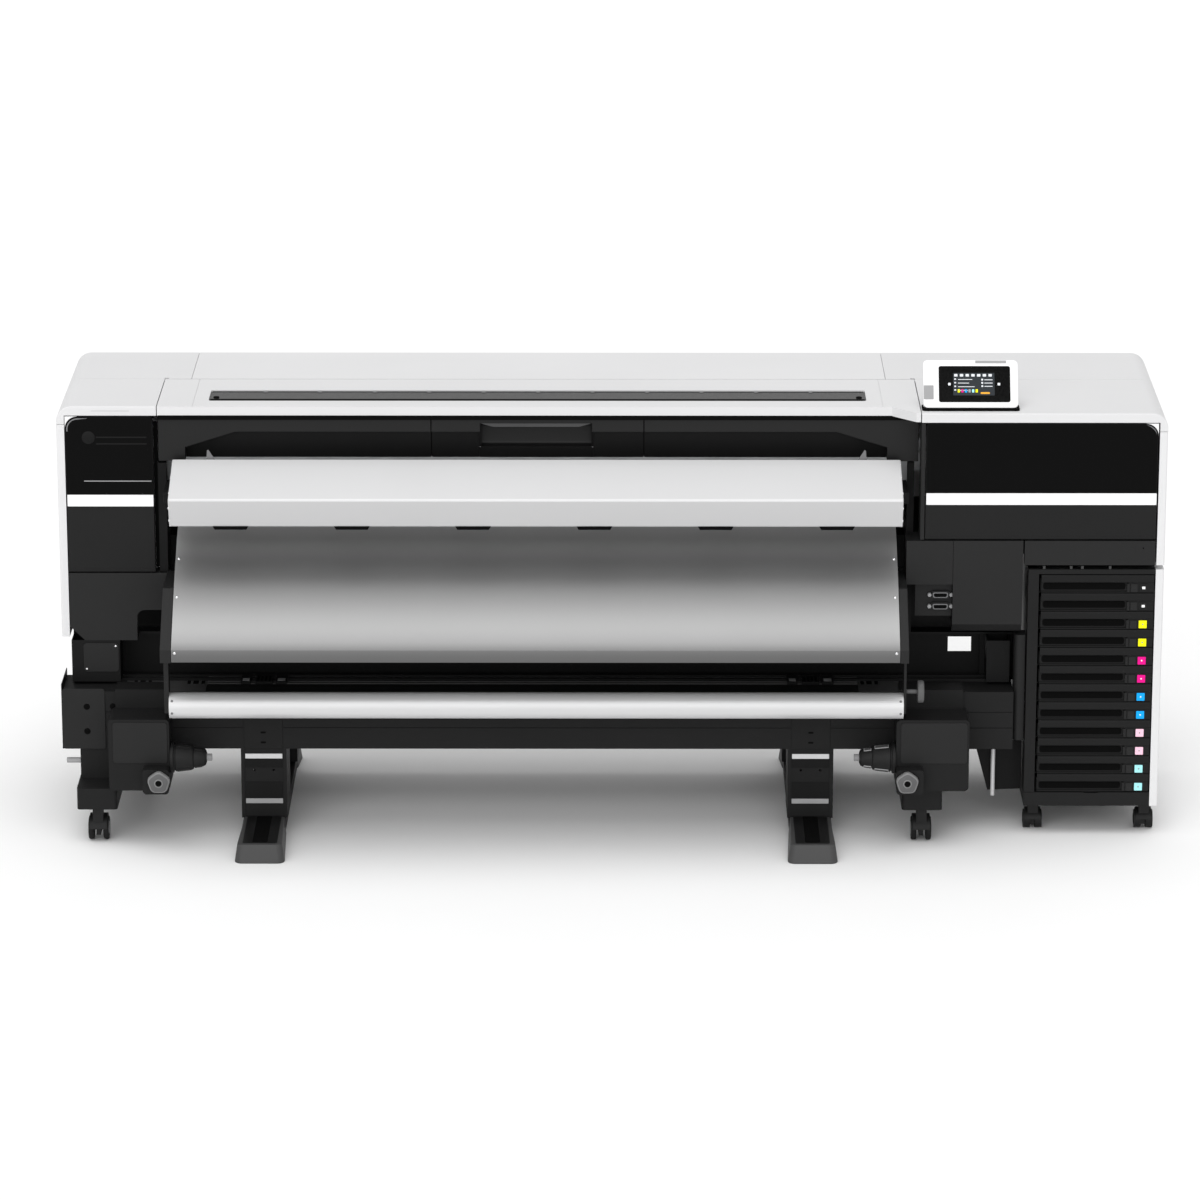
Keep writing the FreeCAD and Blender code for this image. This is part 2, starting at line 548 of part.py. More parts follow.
def front_cover_fascia():
    """Dark front of the hinged cover: chamfered band, inward-leaning face, pocket handle and end cheeks."""
    back = LEFT_FRONT_Y + SKIN + 0.2
    face = [(back, LIP_Z - 0.2), (back - 2, 1141.0), (-128.0, 1111.0), (-104.0, 1026.0)]
    sheet = sheet_x(face, 5.0, COVER_LEFT_X + 78, COVER_RIGHT_X - 84)
    opening = box(HANDLE_X, (-170.0, -60.0), HANDLE_Z)
    pocket = box((HANDLE_X[0] - 4, HANDLE_X[1] + 4), (-140.0, -84.0), (HANDLE_Z[0] - 4, HANDLE_Z[1] + 4))
    pocket = pocket.cut(box(HANDLE_X, (-170.0, -88.0), HANDLE_Z))
    front_trim = prism_x([(-200.0, 1200.0), (-128.0, 1111.0), (-104.0, 1026.0), (-200.0, 1000.0)],
                         HANDLE_X[0] - 10, HANDLE_X[1] + 10)
    front_trim = front_trim.common(box((HANDLE_X[0] - 10, HANDLE_X[1] + 10), (-200.0, -100.0),
                                       (1000.0, 1200.0)))
    sheet = join(sheet.cut(opening), pocket.cut(front_trim))
    cheeks = []
    for side, x in ((-1, COVER_LEFT_X + 1), (1, COVER_RIGHT_X - 1)):
        inner = x - side * 77
        outline = [(back - 2, LIP_Z - 0.2), (back - 2, 1030.0), (-104.0, 1020.0), (-98.0, LIP_Z - 0.2)]
        cheek = prism_x(outline, *sorted((x, inner)))
        hollow = prism_x([(back + 6, LIP_Z + 1), (back + 6, 1040.0), (-90.0, 1040.0), (-90.0, LIP_Z + 1)],
                         *sorted((x - side * 5, inner + side * 5)))
        cheeks.append(cheek.cut(hollow))
    return [sheet] + cheeks


def front_cover_window():
    """Smoked viewing window, let into the frame."""
    rebate = 8.0
    return rounded_box((WINDOW_X[0] - rebate, WINDOW_X[1] + rebate),
                       (WINDOW_Y[0] - rebate, WINDOW_Y[1] + rebate),
                       (TOP_Z - SKIN - 5, TOP_Z - SKIN), 17.0, 2)


DOOR_BARREL_R = 5.0
DOOR_PIN_R = 2.5
DOOR_PIN_INSET = (10.0, 40.0)
DOOR_ARM_W = 8.0


def maintenance_cover(x, y_front, z):
    """Drop-down cover: dished panel whose bottom front edge is rolled into the hinge barrel."""
    shell = hollow_box(x, (y_front, y_front + 22), z, SKIN, 1, False)
    shell = round_edges(shell, 10.0, lambda m, d: along(d, 1) and m.z > z[1] - 1 and m.y < y_front + 23)
    y_pin, z_pin = y_front + DOOR_BARREL_R, z[0] + DOOR_BARREL_R
    corner = box((x[0] - 1, x[1] + 1), (y_front - 1, y_pin), (z[0] - 1, z_pin))
    barrel = rod(DOOR_BARREL_R, (x[0], y_pin, z_pin), (x[1], y_pin, z_pin))
    shell = join(shell.cut(corner), barrel)
    for end, side in ((x[0], 1), (x[1], -1)):
        arm_x = end + side * DOOR_PIN_INSET[0]
        pocket = sorted((arm_x - side, arm_x + side * (DOOR_ARM_W + 1)))
        shell = shell.cut(box(pocket, (y_front + 2, y_front + 23), (z[0] - 1, z_pin + 10)))
        bore_end = end + side * (DOOR_PIN_INSET[1] + 1)
        shell = shell.cut(rod(DOOR_PIN_R + FIT, (arm_x, y_pin, z_pin), (bore_end, y_pin, z_pin)))
    return shell


def hinge_pins(x, y_front, z_low):
    """Fixed pins of one drop-down cover, each on its own arm."""
    y, z = y_front + DOOR_BARREL_R, z_low + DOOR_BARREL_R
    pins = []
    for end, side in ((x[0], 1), (x[1], -1)):
        arm_x = end + side * DOOR_PIN_INSET[0]
        pin = rod(DOOR_PIN_R, (arm_x, y, z), (end + side * DOOR_PIN_INSET[1], y, z))
        arm_span = sorted((arm_x, arm_x + side * DOOR_ARM_W))
        pins.append(join(pin, box(arm_span, (y - 1.5, y_front + 58), (z - 1, z + 4))))
    return pins


LEFT_DOOR_X = (-1454.0, -1221.0)
LEFT_DOOR_Z = (717.0, 1149.0)
RIGHT_DOOR_X = (837.0, 1452.0)
RIGHT_DOOR_Z = (829.0, 1149.0)


def left_lower_cover():
    """Lower cover at the left, with an arched notch at its right foot and a bevelled left foot."""
    x, z = (-1454.0, -1191.0), (527.0, 715.0)
    shell = hollow_box(x, (LEFT_FRONT_Y, LEFT_FRONT_Y + 60), z, SKIN, 1, False)
    arch = rounded_box((-1274.0, x[1] + 30), (LEFT_FRONT_Y - 1, LEFT_FRONT_Y + 61), (500.0, 612.0), 22.0, 1)
    heel = prism_y([(x[0] - 1, 500.0), (x[0] - 1, 566.0), (x[0] + 40, 526.0)], LEFT_FRONT_Y - 1,
                   LEFT_FRONT_Y + 61)
    return round_edges(shell.cut(arch).cut(heel), 3.0,
                       lambda m, d: along(d, 0) and abs(m.y - LEFT_FRONT_Y) < 1 and m.z > 714)


def right_lower_cover():
    """Lower covers at the right: raised panel, recessed socket plate, arch and the strip over the cabinet."""
    y0 = RIGHT_FRONT_Y
    raised = hollow_box((914.0, 1100.0), (y0, y0 + 90), (594.0, 826.0), SKIN, 1, False)
    upper = hollow_box((789.0, 913.0), (y0, y0 + 90), (705.0, 826.0), SKIN, 1, False)
    recess = box((815.0, 913.0), (y0 + 22, y0 + 28), (612.0, 704.0))
    sockets = []
    for z in (672.0, 640.0):
        block = rounded_box((858.0, 906.0), (y0 + 14, y0 + 22), (z - 11, z + 11), 6.0, 1)
        sockets.append(block.cut(rounded_box((864.0, 900.0), (y0 + 13, y0 + 20), (z - 6, z + 6), 4.0, 1)))
    lip = prism_x([(y0 + 4, 594.0), (y0 + 26, 569.0), (y0 + 90, 569.0), (y0 + 90, 594.0)], 914.0, 1100.0)
    strip = hollow_box((1104.0, 1452.0), (y0, y0 + 26), (759.0, 826.0), SKIN, 1, False)
    strip = strip.cut(rod(2.0, (1420.0, y0 - 1, 806.0), (1420.0, y0 + 6, 806.0)))
    trim = box((COVER_RIGHT_X + 2.5, 835.0), (y0 + 1, y0 + 80), (829.0, LIP_Z - 2))
    return [raised, upper, recess, lip, strip, trim] + sockets


def build_covers():
    left_inner, right_inner = COVER_LEFT_X - 2.5, COVER_RIGHT_X + 2.5
    save("left_side_panel", side_panel(-1, LEFT_FRONT_Y, (537.0, SIDE_SEAM_Z - SEAM)))
    save("right_side_panel", side_panel(1, RIGHT_FRONT_Y, (759.0, SIDE_SEAM_Z - SEAM)))
    left_pins = hinge_pins(LEFT_DOOR_X, LEFT_FRONT_Y, LEFT_DOOR_Z[0])
    right_pins = hinge_pins(RIGHT_DOOR_X, RIGHT_FRONT_Y, RIGHT_DOOR_Z[0])
    save("left_top_cover", top_cover(-1, left_inner, REAR_SEAM_LEFT_X, LEFT_FRONT_Y))
    save("right_top_cover", top_cover(1, right_inner, REAR_SEAM_RIGHT_X, RIGHT_FRONT_Y), panel_base())
    save("rear_cover", *rear_cover())
    save("front_cover_frame", front_cover_frame())
    save("front_cover_fascia", *front_cover_fascia())
    save("front_cover_window", front_cover_window())
    save("left_maintenance_cover", maintenance_cover(LEFT_DOOR_X, LEFT_FRONT_Y, LEFT_DOOR_Z))
    save("right_maintenance_cover", maintenance_cover(RIGHT_DOOR_X, RIGHT_FRONT_Y, RIGHT_DOOR_Z))
    save("left_lower_cover", left_lower_cover(), *left_pins)
    save("right_lower_cover", *(right_lower_cover() + right_pins))


# ---------------------------------------------------------------- heating, drying and media guides
def drying_unit():
    """Long folded hood with end caps, six outlet tabs and two carrying arms."""
    x = (-1168.0, 772.0)
    skin = 2.0
    line = [(-160.0, 1004.0), (-165.0, 1033.5), (-343.0, 969.0), (-310.0, 896.0), (-200.0, 884.0)]
    hood = sheet_x(line[::-1], skin, x[0] + 3, x[1] - 3)
    caps = [prism_x(line, a, b) for a, b in ((x[0], x[0] + 3), (x[1] - 3, x[1]))]
    tabs = []
    for i in range(6):
        start = -1053.0 + 321.0 * i
        tabs.append(box((start, start + 94), (-314.0, -290.0), (888.0, 891.6)))
    arms = []
    for a, b in ((-1188.0, -1168.0), (772.0, 792.0)):
        arms.append(box((a, b), (-240.0, -104.0), (930.0, 960.0)))
    return [join(hood, *caps)] + tabs + arms


def heater_panel():
    """Curved heated guide that the printed media slides down, with its end brackets."""
    line = [(-446.0, 554.5), (-446.0, 588.0), (-430.0, 606.0), (-380.0, 653.0), (-309.0, 719.0),
            (-264.0, 754.0),
            (-219.0, 785.0), (-172.0, 817.0), (PLATEN_FRONT_Y, 843.0)]
    solids = plates_x(line[::-1], 2.0, MEDIA_X0, MEDIA_X1)
    outline = [(-446.0, 552.0), (-446.0, 588.0), (-309.0, 719.0), (-138.0, 719.0), (-138.0, 600.0),
               (-300.0, 552.0)]
    for a, b in ((-1190.0, MEDIA_X0 - 1), (MEDIA_X1 + 1, 788.0)):
        solids.append(prism_x(outline, a, b))
    for a, b in ((-1190.0, -1177.0), (781.0, 788.0)):
        solids.append(box((a, b), (-340.0, -296.0), (380.0, 552.0)))
    ribs = [box((x, x + 3), (-136.0, -38.0), (715.0, 790.0)) for x in (MEDIA_X0 + 300, MEDIA_X1 - 300)]
    return solids + ribs


def guide_tube():
    """Tension tube across the media path, closed by end discs."""
    y, z, radius = -320.0, 397.0, 35.0
    x0, x1 = -1177.0, 781.0
    body = tube(radius, radius - 2.5, (x0 + 4, y, z), (x1 - 4, y, z))
    discs = [rod(radius, (a, y, z), (b, y, z)) for a, b in ((x0, x0 + 4), (x1 - 4, x1))]
    return [body] + discs


ROLL_Y = 200.0
ROLL_Z = 290.0


def rear_feed_unit():
    """Rail behind the stand with two roll holders that face each other."""
    rail = bar((-1300.0, 1000.0), POST_Y, RAIL_Z, 4.0, 0)
    solids = [rail]
    for x, inward in ((-1170.0, 1), (830.0, -1)):
        back = sorted((x, x - inward * 60))
        solids.append(bar(back, (ROLL_Y - 55, POST_Y[1]), (RAIL_Z[1], RAIL_Z[1] + 120), 5.0, 2))
        solids.append(rod(CORE_R, (x, ROLL_Y, ROLL_Z), (x + inward * 14, ROLL_Y, ROLL_Z)))
        solids.append(rod(25.0, (x + inward * 14, ROLL_Y, ROLL_Z), (x + inward * 80, ROLL_Y, ROLL_Z)))
    return solids


def feed_handwheel():
    """Ribbed hand wheel on the right roll holder."""
    x = 892.0
    rim = rod(30.0, (x, ROLL_Y, ROLL_Z), (x + 14, ROLL_Y, ROLL_Z))
    for i in range(8):
        angle = math.radians(45 * i)
        y, z = ROLL_Y + 31 * math.cos(angle), ROLL_Z + 31 * math.sin(angle)
        rim = rim.cut(rod(5.0, (x - 1, y, z), (x + 15, y, z)))
    return join(rim, rod(9.0, (x + 14, ROLL_Y, ROLL_Z), (x + 24, ROLL_Y, ROLL_Z)))


def build_media_path():
    save("drying_unit", *drying_unit())
    save("heater_panel", *heater_panel())
    save("guide_tube", *guide_tube())
    save("rear_feed_unit", *rear_feed_unit())
    save("feed_handwheel", feed_handwheel())


# ---------------------------------------------------------------- take-up unit
def takeup(x, side):
    """Gear case of one take-up holder, hanging on the beam; side is +1 if its core points to +X."""
    bore_x = x[1] if side > 0 else x[0]
    case = rounded_box(x, (TAKEUP_FRONT_Y, BEAM_Y0 - 3), (160.0, 359.0), 12.0, 1)
    bore = rod(CORE_SHAFT_R + FIT, (bore_x + side, TAKEUP_AXIS_Y, TAKEUP_AXIS_Z),
               (bore_x - side * 61, TAKEUP_AXIS_Y, TAKEUP_AXIS_Z))
    case = case.cut(bore)
    knob_x = KNOB_X[0] if side > 0 else KNOB_X[1]
    boss = rounded_box((max(knob_x - 44, x[0]), min(knob_x + 44, x[1])), (-372.0, TAKEUP_FRONT_Y),
                       (163.0, 232.0), 10.0, 1)
    knob_bore = rod(6.0 + FIT, (knob_x, -373.0, KNOB_Z), (knob_x, -340.0, KNOB_Z))
    hook = box((x[0] + 12, x[1] - 12), (BEAM_Y0 - 11, BEAM_Y0 + 60), (BEAM_Z1 + 1.5, BEAM_Z1 + 9))
    web = box((x[0] + 12, x[1] - 12), (BEAM_Y0 - 11, BEAM_Y0 - 3), (359.0, BEAM_Z1 + 1.5))
    return [join(case, boss).cut(knob_bore), join(hook, web)]


def core_holder(x, side):
    """Stepped core holder with spring latches, on its shaft."""
    axis = (TAKEUP_AXIS_Y, TAKEUP_AXIS_Z)
    steps = ((0.5, 12, CORE_R), (12, 62, 30.0), (62, 96, 25.0), (96, CORE_REACH, 14.0))
    solids = [rod(radius, (x + side * a, *axis), (x + side * b, *axis)) for a, b, radius in steps]
    solids.append(rod(CORE_SHAFT_R, (x + side * 0.5, *axis), (x - side * 60, *axis)))
    for i in range(3):
        fin = box(sorted((x + side * 20, x + side * 58)), (axis[0] - 5, axis[0] + 5),
                  (axis[1] + 27, axis[1] + 35))
        solids.append(turned(fin, (x, *axis), (1, 0, 0), 120 * i))
    return join(*solids)


def knob(x):
    """Five-lobed clamping knob and its screw."""
    solids = [rod(26.5, (x, -392.0, KNOB_Z), (x, -374.0, KNOB_Z))]
    for i in range(5):
        angle = math.radians(90 + 72 * i)
        cx, cz = x + 19.0 * math.cos(angle), KNOB_Z + 19.0 * math.sin(angle)
        solids.append(rod(KNOB_R - 19.0, (cx, -392.0, cz), (cx, -374.0, cz)))
    body = join(*solids).cut(rod(7.0, (x, -393.0, KNOB_Z), (x, -386.0, KNOB_Z)))
    return join(body, rod(6.0, (x, -374.0, KNOB_Z), (x, -341.0, KNOB_Z)))


def build_takeup():
    save("takeup_left", *takeup(TAKEUP_LEFT_X, 1))
    save("takeup_right", *takeup(TAKEUP_RIGHT_X, -1))
    save("core_holder_left", core_holder(TAKEUP_LEFT_X[1], 1))
    save("core_holder_right", core_holder(TAKEUP_RIGHT_X[0], -1))
    save("knob_left", knob(KNOB_X[0]))
    save("knob_right", knob(KNOB_X[1]))


# ---------------------------------------------------------------- ink cabinet
def ink_cabinet():
    """Cabinet of plates: walls, top, plinth, back and a shelf under each tray."""
    y = (CAB_FRONT_Y, CAB_REAR_Y)
    left = bar((CAB_X0, 1144.0), y, (CAB_Z0 + 39, CAB_Z1), 2.0, 2)
    right = box((1447.0, CAB_X1), y, (CAB_Z0 + 39, CAB_Z1))
    top = box((1144.0, 1447.0), y, (TRAY_TOP_Z + 2, CAB_Z1))
    back = box((1144.0, 1447.0), (CAB_REAR_Y - 4, CAB_REAR_Y), (CAB_Z0 + 39, TRAY_TOP_Z + 2))
    plinth = hollow_box((CAB_X0, CAB_X1), (CAB_FRONT_Y - 14, CAB_REAR_Y), (CAB_Z0, CAB_Z0 + 38), SKIN, 2,
                        True)
    bosses = [rod(15.0, (x, cy, CAB_Z0), (x, cy, CAB_Z0 + 36)) for x in SMALL_CASTER_X
              for cy in SMALL_CASTER_Y]
    plinth = join(plinth, *bosses).common(box((CAB_X0, CAB_X1), (-400.0, 400.0), (CAB_Z0, CAB_Z0 + 38)))
    plinth = plinth.cut(box((1278.0, 1317.0), (CAB_FRONT_Y - 15, CAB_FRONT_Y - 4),
                            (CAB_Z0 + 36, CAB_Z0 + 39)))
    pillar = box((CAB_X0, 1144.0), (CAB_FRONT_Y - 14, CAB_FRONT_Y), (CAB_Z0 + 39, CAB_Z1))
    header = box((1144.0, CAB_X1), (CAB_FRONT_Y - 14, CAB_FRONT_Y), (TRAY_TOP_Z + 2, CAB_Z1))
    shelves = []
    for i in range(1, TRAY_COUNT):
        z = TRAY_TOP_Z - TRAY_PITCH * i
        shelves.append(box((1144.0, 1447.0), (CAB_FRONT_Y, CAB_REAR_Y - 4), (z - 2, z)))
    for x in SMALL_CASTER_X:
        for cy in SMALL_CASTER_Y:
            plinth = plinth.cut(rod(7 + FIT, (x, cy, CAB_Z0 - 1), (x, cy, CAB_Z0 + 30)))
    return [left, right, top, back, plinth, pillar, header] + shelves


def ink_tray(index):
    """Pull-out tray with its grip front, and the flat ink pouch that lies in it."""
    top = TRAY_TOP_Z - TRAY_PITCH * index
    bottom = top - TRAY_PITCH + 0.8
    y0 = RIGHT_FRONT_Y + 1
    front = box((TRAY_X0, TRAY_X1), (CAB_FRONT_Y - 8, CAB_FRONT_Y - 1), (bottom, top - 0.4))
    ridge = rounded_box((TRAY_X0, TRAY_X1), (y0, CAB_FRONT_Y - 8), (top - 21.7, top - 0.4), 3.0, 0)
    sill = box((TRAY_X0, TRAY_X1), (y0 + 4, CAB_FRONT_Y - 8), (bottom, bottom + 3))
    latch = box((1384.0, TRAY_X1), (y0 + 3, CAB_FRONT_Y - 8), (bottom + 3, top - 21.7))
    pan_x, pan_y = (1149.0, 1442.0), (CAB_FRONT_Y - 1, 190.0)
    floor = box(pan_x, pan_y, (bottom + 1, bottom + 3))
    walls = [box((pan_x[0], pan_x[0] + 2), pan_y, (bottom + 3, top - 14)),
             box((pan_x[1] - 2, pan_x[1]), pan_y, (bottom + 3, top - 14)),
             box((pan_x[0] + 2, pan_x[1] - 2), (pan_y[1] - 2, pan_y[1]), (bottom + 3, top - 14))]
    pouch = rounded_box((pan_x[0] + 12, pan_x[1] - 12), (-190.0, 170.0), (bottom + 3, bottom + 27), 10.0, 2)
    return [join(front, ridge, sill, latch), floor, pouch] + walls


def cabinet_side_panel():
    """Dished outer panel of the cabinet."""
    x = (CAB_X1 + 0.5, HALF_WIDTH)
    shell = hollow_box(x, (-218.0, CAB_REAR_Y), (CAB_Z0, CAB_Z1), SKIN, 0, True)
    return round_edges(shell, 5.0, lambda m, d: along(d, 2) and m.x > HALF_WIDTH - 1)


def build_cabinet():
    save("ink_cabinet", *ink_cabinet())
    save("cabinet_side_panel", cabinet_side_panel())
    for i in range(TRAY_COUNT):
        save("ink_tray_%02d" % (i + 1), *ink_tray(i))


# ---------------------------------------------------------------- control panel
def tilted(shape):
    """Shape drawn lying flat at the panel's base, turned up to the panel's rest tilt."""
    return turned(shape, (0, PANEL_BASE_Y, PANEL_BASE_Z), (1, 0, 0), PANEL_TILT)


SCREEN_X = (871.0, 1061.0)


def panel_housing():
    """White case with a rounded outline, a recess for the screen and a barrel for the hinge pin."""
    y = (PANEL_BASE_Y, PANEL_BASE_Y + PANEL_LENGTH)
    z = (PANEL_BASE_Z - PANEL_THICK, PANEL_BASE_Z)
    case = rounded_box((PANEL_X0, PANEL_X1), y, z, 12.0, 2)
    case = case.cut(rounded_box(SCREEN_X, (y[0] + 15, y[0] + 115), (z[1] - 4, z[1] + 1), 6.0, 2))
    foot_space = box((PANEL_X0 - 1, PANEL_X1 + 1), (-300.0, 0.0), (TOP_Z - 30, TOP_Z + 2))
    case = tilted(case).cut(foot_space)
    x = (895.0, 1017.0)
    point = (PANEL_HINGE_Y, PANEL_HINGE_Z)
    barrel = rod(8.0, (x[0], *point), (x[1], *point))
    link = prism_x([(-158.0, PANEL_HINGE_Z + 1), (-140.0, PANEL_HINGE_Z + 30),
                    (point[0] + 8, point[1]), (point[0], point[1] - 7)], *x)
    bore = rod(PANEL_PIN_R + FIT, (x[0] - 1, *point), (x[1] + 1, *point))
    return join(case, barrel, link).cut(bore)


def panel_screen():
    """Touch screen glass, flush in the case."""
    gap = 0.3
    y = (PANEL_BASE_Y + 15 + gap, PANEL_BASE_Y + 115 - gap)
    z = (PANEL_BASE_Z - 4, PANEL_BASE_Z - 0.6)
    return tilted(rounded_box((SCREEN_X[0] + gap, SCREEN_X[1] - gap), y, z, 5.7, 2))


def build_control_panel():
    save("panel_housing", panel_housing())
    save("panel_screen", panel_screen())


# ---------------------------------------------------------------- casters
def twin_wheels(x, y, radius, width, core):
    """Two wheels on one axle, one each side of the fork's middle."""
    solids = []
    for side in (-1, 1):
        a, b = x + side * (core / 2 + 0.5), x + side * width / 2
        wheel = rod(radius, (a, y, radius), (b, y, radius))
        wheel = wheel.cut(rod(radius * 0.62, (b, y, radius), (b - side * 4, y, radius)))
        wheel = wheel.cut(rod(4.0 + FIT, (a - side, y, radius), (b + side, y, radius)))
        solids.append(wheel)
    return solids


def caster_fork(x, swivel_y, trail, radius, width, core, plate_z, stem_r):
    """Swivel body of a twin-wheel caster: hood, middle web, axle and stem."""
    y = swivel_y + trail
    web = box((x - core / 2, x + core / 2), (y - radius * 0.75, y + radius * 0.75),
              (radius * 0.55, radius + 8))
    hood = tube(radius + 7, radius + 2, (x - width / 2 + 4, y, radius), (x + width / 2 - 4, y, radius))
    hood = hood.common(box((x - width, x + width), (y - 2 * radius, y + radius * 1.2),
                           (radius + 6, 3 * radius)))
    neck = box((x - 14, x + 14), (swivel_y - 14, swivel_y + 14), (radius + 22, plate_z))
    neck = neck.cut(rod(radius + 2, (x - 20, y, radius), (x + 20, y, radius)))
    rib = box((x - core / 2, x + core / 2), (y - 16, y + 16), (radius + 6, 2 * radius + 4))
    axle = rod(4.0, (x - width / 2 + 1, y, radius), (x + width / 2 - 1, y, radius))
    stem = rod(stem_r, (x, swivel_y, plate_z - 1), (x, swivel_y, plate_z + 28))
    return join(web, rib, hood, neck, axle, stem)


def build_casters():
    places = (("front_left", CASTER_X[0], CASTER_SWIVEL_Y[0]),
              ("front_right", CASTER_X[1], CASTER_SWIVEL_Y[0]),
              ("rear_left", CASTER_X[0], CASTER_SWIVEL_Y[1]), ("rear_right", CASTER_X[1], CASTER_SWIVEL_Y[1]))
    for name, x, y in places:
        save("caster_fork_" + name,
             caster_fork(x, y, CASTER_TRAIL, CASTER_R, 55.0, 12.0, CASTER_PLATE_Z, 8.0))
        save("caster_wheels_" + name, *twin_wheels(x, y + CASTER_TRAIL, CASTER_R, 55.0, 12.0))
    number = 0
    for x in SMALL_CASTER_X:
        for y in SMALL_CASTER_Y:
            number += 1
            body = caster_fork(x, y, SMALL_CASTER_TRAIL, SMALL_CASTER_R, 50.0, 12.0, SMALL_CASTER_TOP_Z - 1,
                               7.0)
            wheels = twin_wheels(x, y + SMALL_CASTER_TRAIL, SMALL_CASTER_R, 50.0, 12.0)
            save("cabinet_caster_%d" % number, body, *wheels)


build_stand()
build_inner_works()
build_covers()
build_media_path()
build_takeup()
build_cabinet()
build_control_panel()
build_casters()
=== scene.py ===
import json
import math

import bmesh
import bpy
from mathutils import Matrix, Vector


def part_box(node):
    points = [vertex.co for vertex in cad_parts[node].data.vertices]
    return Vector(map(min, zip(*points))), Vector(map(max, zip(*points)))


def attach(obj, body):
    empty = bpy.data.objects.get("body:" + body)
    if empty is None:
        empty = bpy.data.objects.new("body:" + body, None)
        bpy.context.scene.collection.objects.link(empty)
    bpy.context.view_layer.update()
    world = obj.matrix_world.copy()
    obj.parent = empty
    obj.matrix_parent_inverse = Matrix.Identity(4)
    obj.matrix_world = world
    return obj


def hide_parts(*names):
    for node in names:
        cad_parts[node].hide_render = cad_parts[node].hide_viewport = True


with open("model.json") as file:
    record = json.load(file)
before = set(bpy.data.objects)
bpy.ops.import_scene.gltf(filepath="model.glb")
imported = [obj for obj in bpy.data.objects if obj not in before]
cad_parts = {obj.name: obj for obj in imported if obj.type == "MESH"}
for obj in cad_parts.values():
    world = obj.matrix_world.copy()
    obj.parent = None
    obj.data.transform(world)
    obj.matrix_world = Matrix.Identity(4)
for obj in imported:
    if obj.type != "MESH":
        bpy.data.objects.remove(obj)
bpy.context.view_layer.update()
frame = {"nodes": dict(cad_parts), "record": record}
NODES = frame["nodes"]
SLOT_OF = {entry["node"]: entry["material_slot"] for entry in frame["record"]["subparts"]}
MM = 0.001
TRAY_NUMBERS = range(1, 13)


# ---- measures from the frame
class Span:
    """Extent of a CAD node at rest, in millimetres."""

    def __init__(self, node):
        low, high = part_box(node)
        self.x0, self.y0, self.z0 = [c / MM for c in low]
        self.x1, self.y1, self.z1 = [c / MM for c in high]
        self.xm = (self.x0 + self.x1) / 2
        self.ym = (self.y0 + self.y1) / 2
        self.zm = (self.z0 + self.z1) / 2


# ---- materials
def add_node(tree, kind, values, links, **settings):
    """New node with its settings, input values and input links; settings decide which inputs there are."""
    node = tree.nodes.new("ShaderNode" + kind)
    for name, value in settings.items():
        setattr(node, name, value)
    for name, value in values.items():
        node.inputs[name].default_value = value
    for name, socket in links.items():
        tree.links.new(socket, node.inputs[name])
    return node


def texture_space(tree, scale):
    """Object coordinates in metres, stretched by scale."""
    coords = add_node(tree, "TexCoord", {}, {})
    return add_node(tree, "Mapping", {"Scale": scale},
                    {"Vector": coords.outputs["Object"]}).outputs["Vector"]


def noise(tree, vector, scale, detail=4, rough=0.55):
    values = {"Scale": scale, "Detail": detail, "Roughness": rough}
    return add_node(tree, "TexNoise", values, {"Vector": vector}).outputs["Fac"]


def remap(tree, value, low, high, first=0.3, last=0.7):
    """Scales a value that runs from first to last into one from low to high."""
    values = {"From Min": first, "From Max": last, "To Min": low, "To Max": high}
    return add_node(tree, "MapRange", values, {"Value": value}).outputs["Result"]


def blend_colours(tree, factor, first, second):
    values = {"A": (*first, 1), "B": (*second, 1)}
    return add_node(tree, "Mix", values, {"Factor": factor}, data_type="RGBA").outputs["Result"]


def add_bump(tree, shader, height, strength, distance):
    bump = add_node(tree, "Bump", {"Strength": strength, "Distance": distance}, {"Height": height})
    tree.links.new(bump.outputs["Normal"], shader.inputs["Normal"])


GLOSS_SPREAD = 0.06
GRAIN_HEIGHT = 0.0004
PATCH_SCALE = 2.2
COAT_ROUGHNESS = 0.05


def surface(name, colour, rough, grain, grain_depth, mottle, specular, metallic=0, coat=0,
            stretch=(1, 1, 1)):
    """Moulded plastic, paint or metal: soft colour patches, uneven gloss and a fine surface grain."""
    material = bpy.data.materials.new(name)
    material.use_nodes = True
    tree = material.node_tree
    shader = tree.nodes["Principled BSDF"]
    vector = texture_space(tree, stretch)
    wide = remap(tree, noise(tree, vector, PATCH_SCALE), 0, 1)
    dark = [c * (1 - mottle) for c in colour]
    light = [min(1, c * (1 + mottle)) for c in colour]
    tree.links.new(blend_colours(tree, wide, dark, light), shader.inputs["Base Color"])
    fine = noise(tree, vector, grain, 3, 0.6)
    gloss = remap(tree, fine, max(0.02, rough - GLOSS_SPREAD), min(1, rough + GLOSS_SPREAD))
    tree.links.new(gloss, shader.inputs["Roughness"])
    add_bump(tree, shader, fine, grain_depth, GRAIN_HEIGHT)
    for name, value in (("Specular IOR Level", specular), ("Metallic", metallic), ("Coat Weight", coat),
                        ("Coat Roughness", COAT_ROUGHNESS)):
        shader.inputs[name].default_value = value
    return material


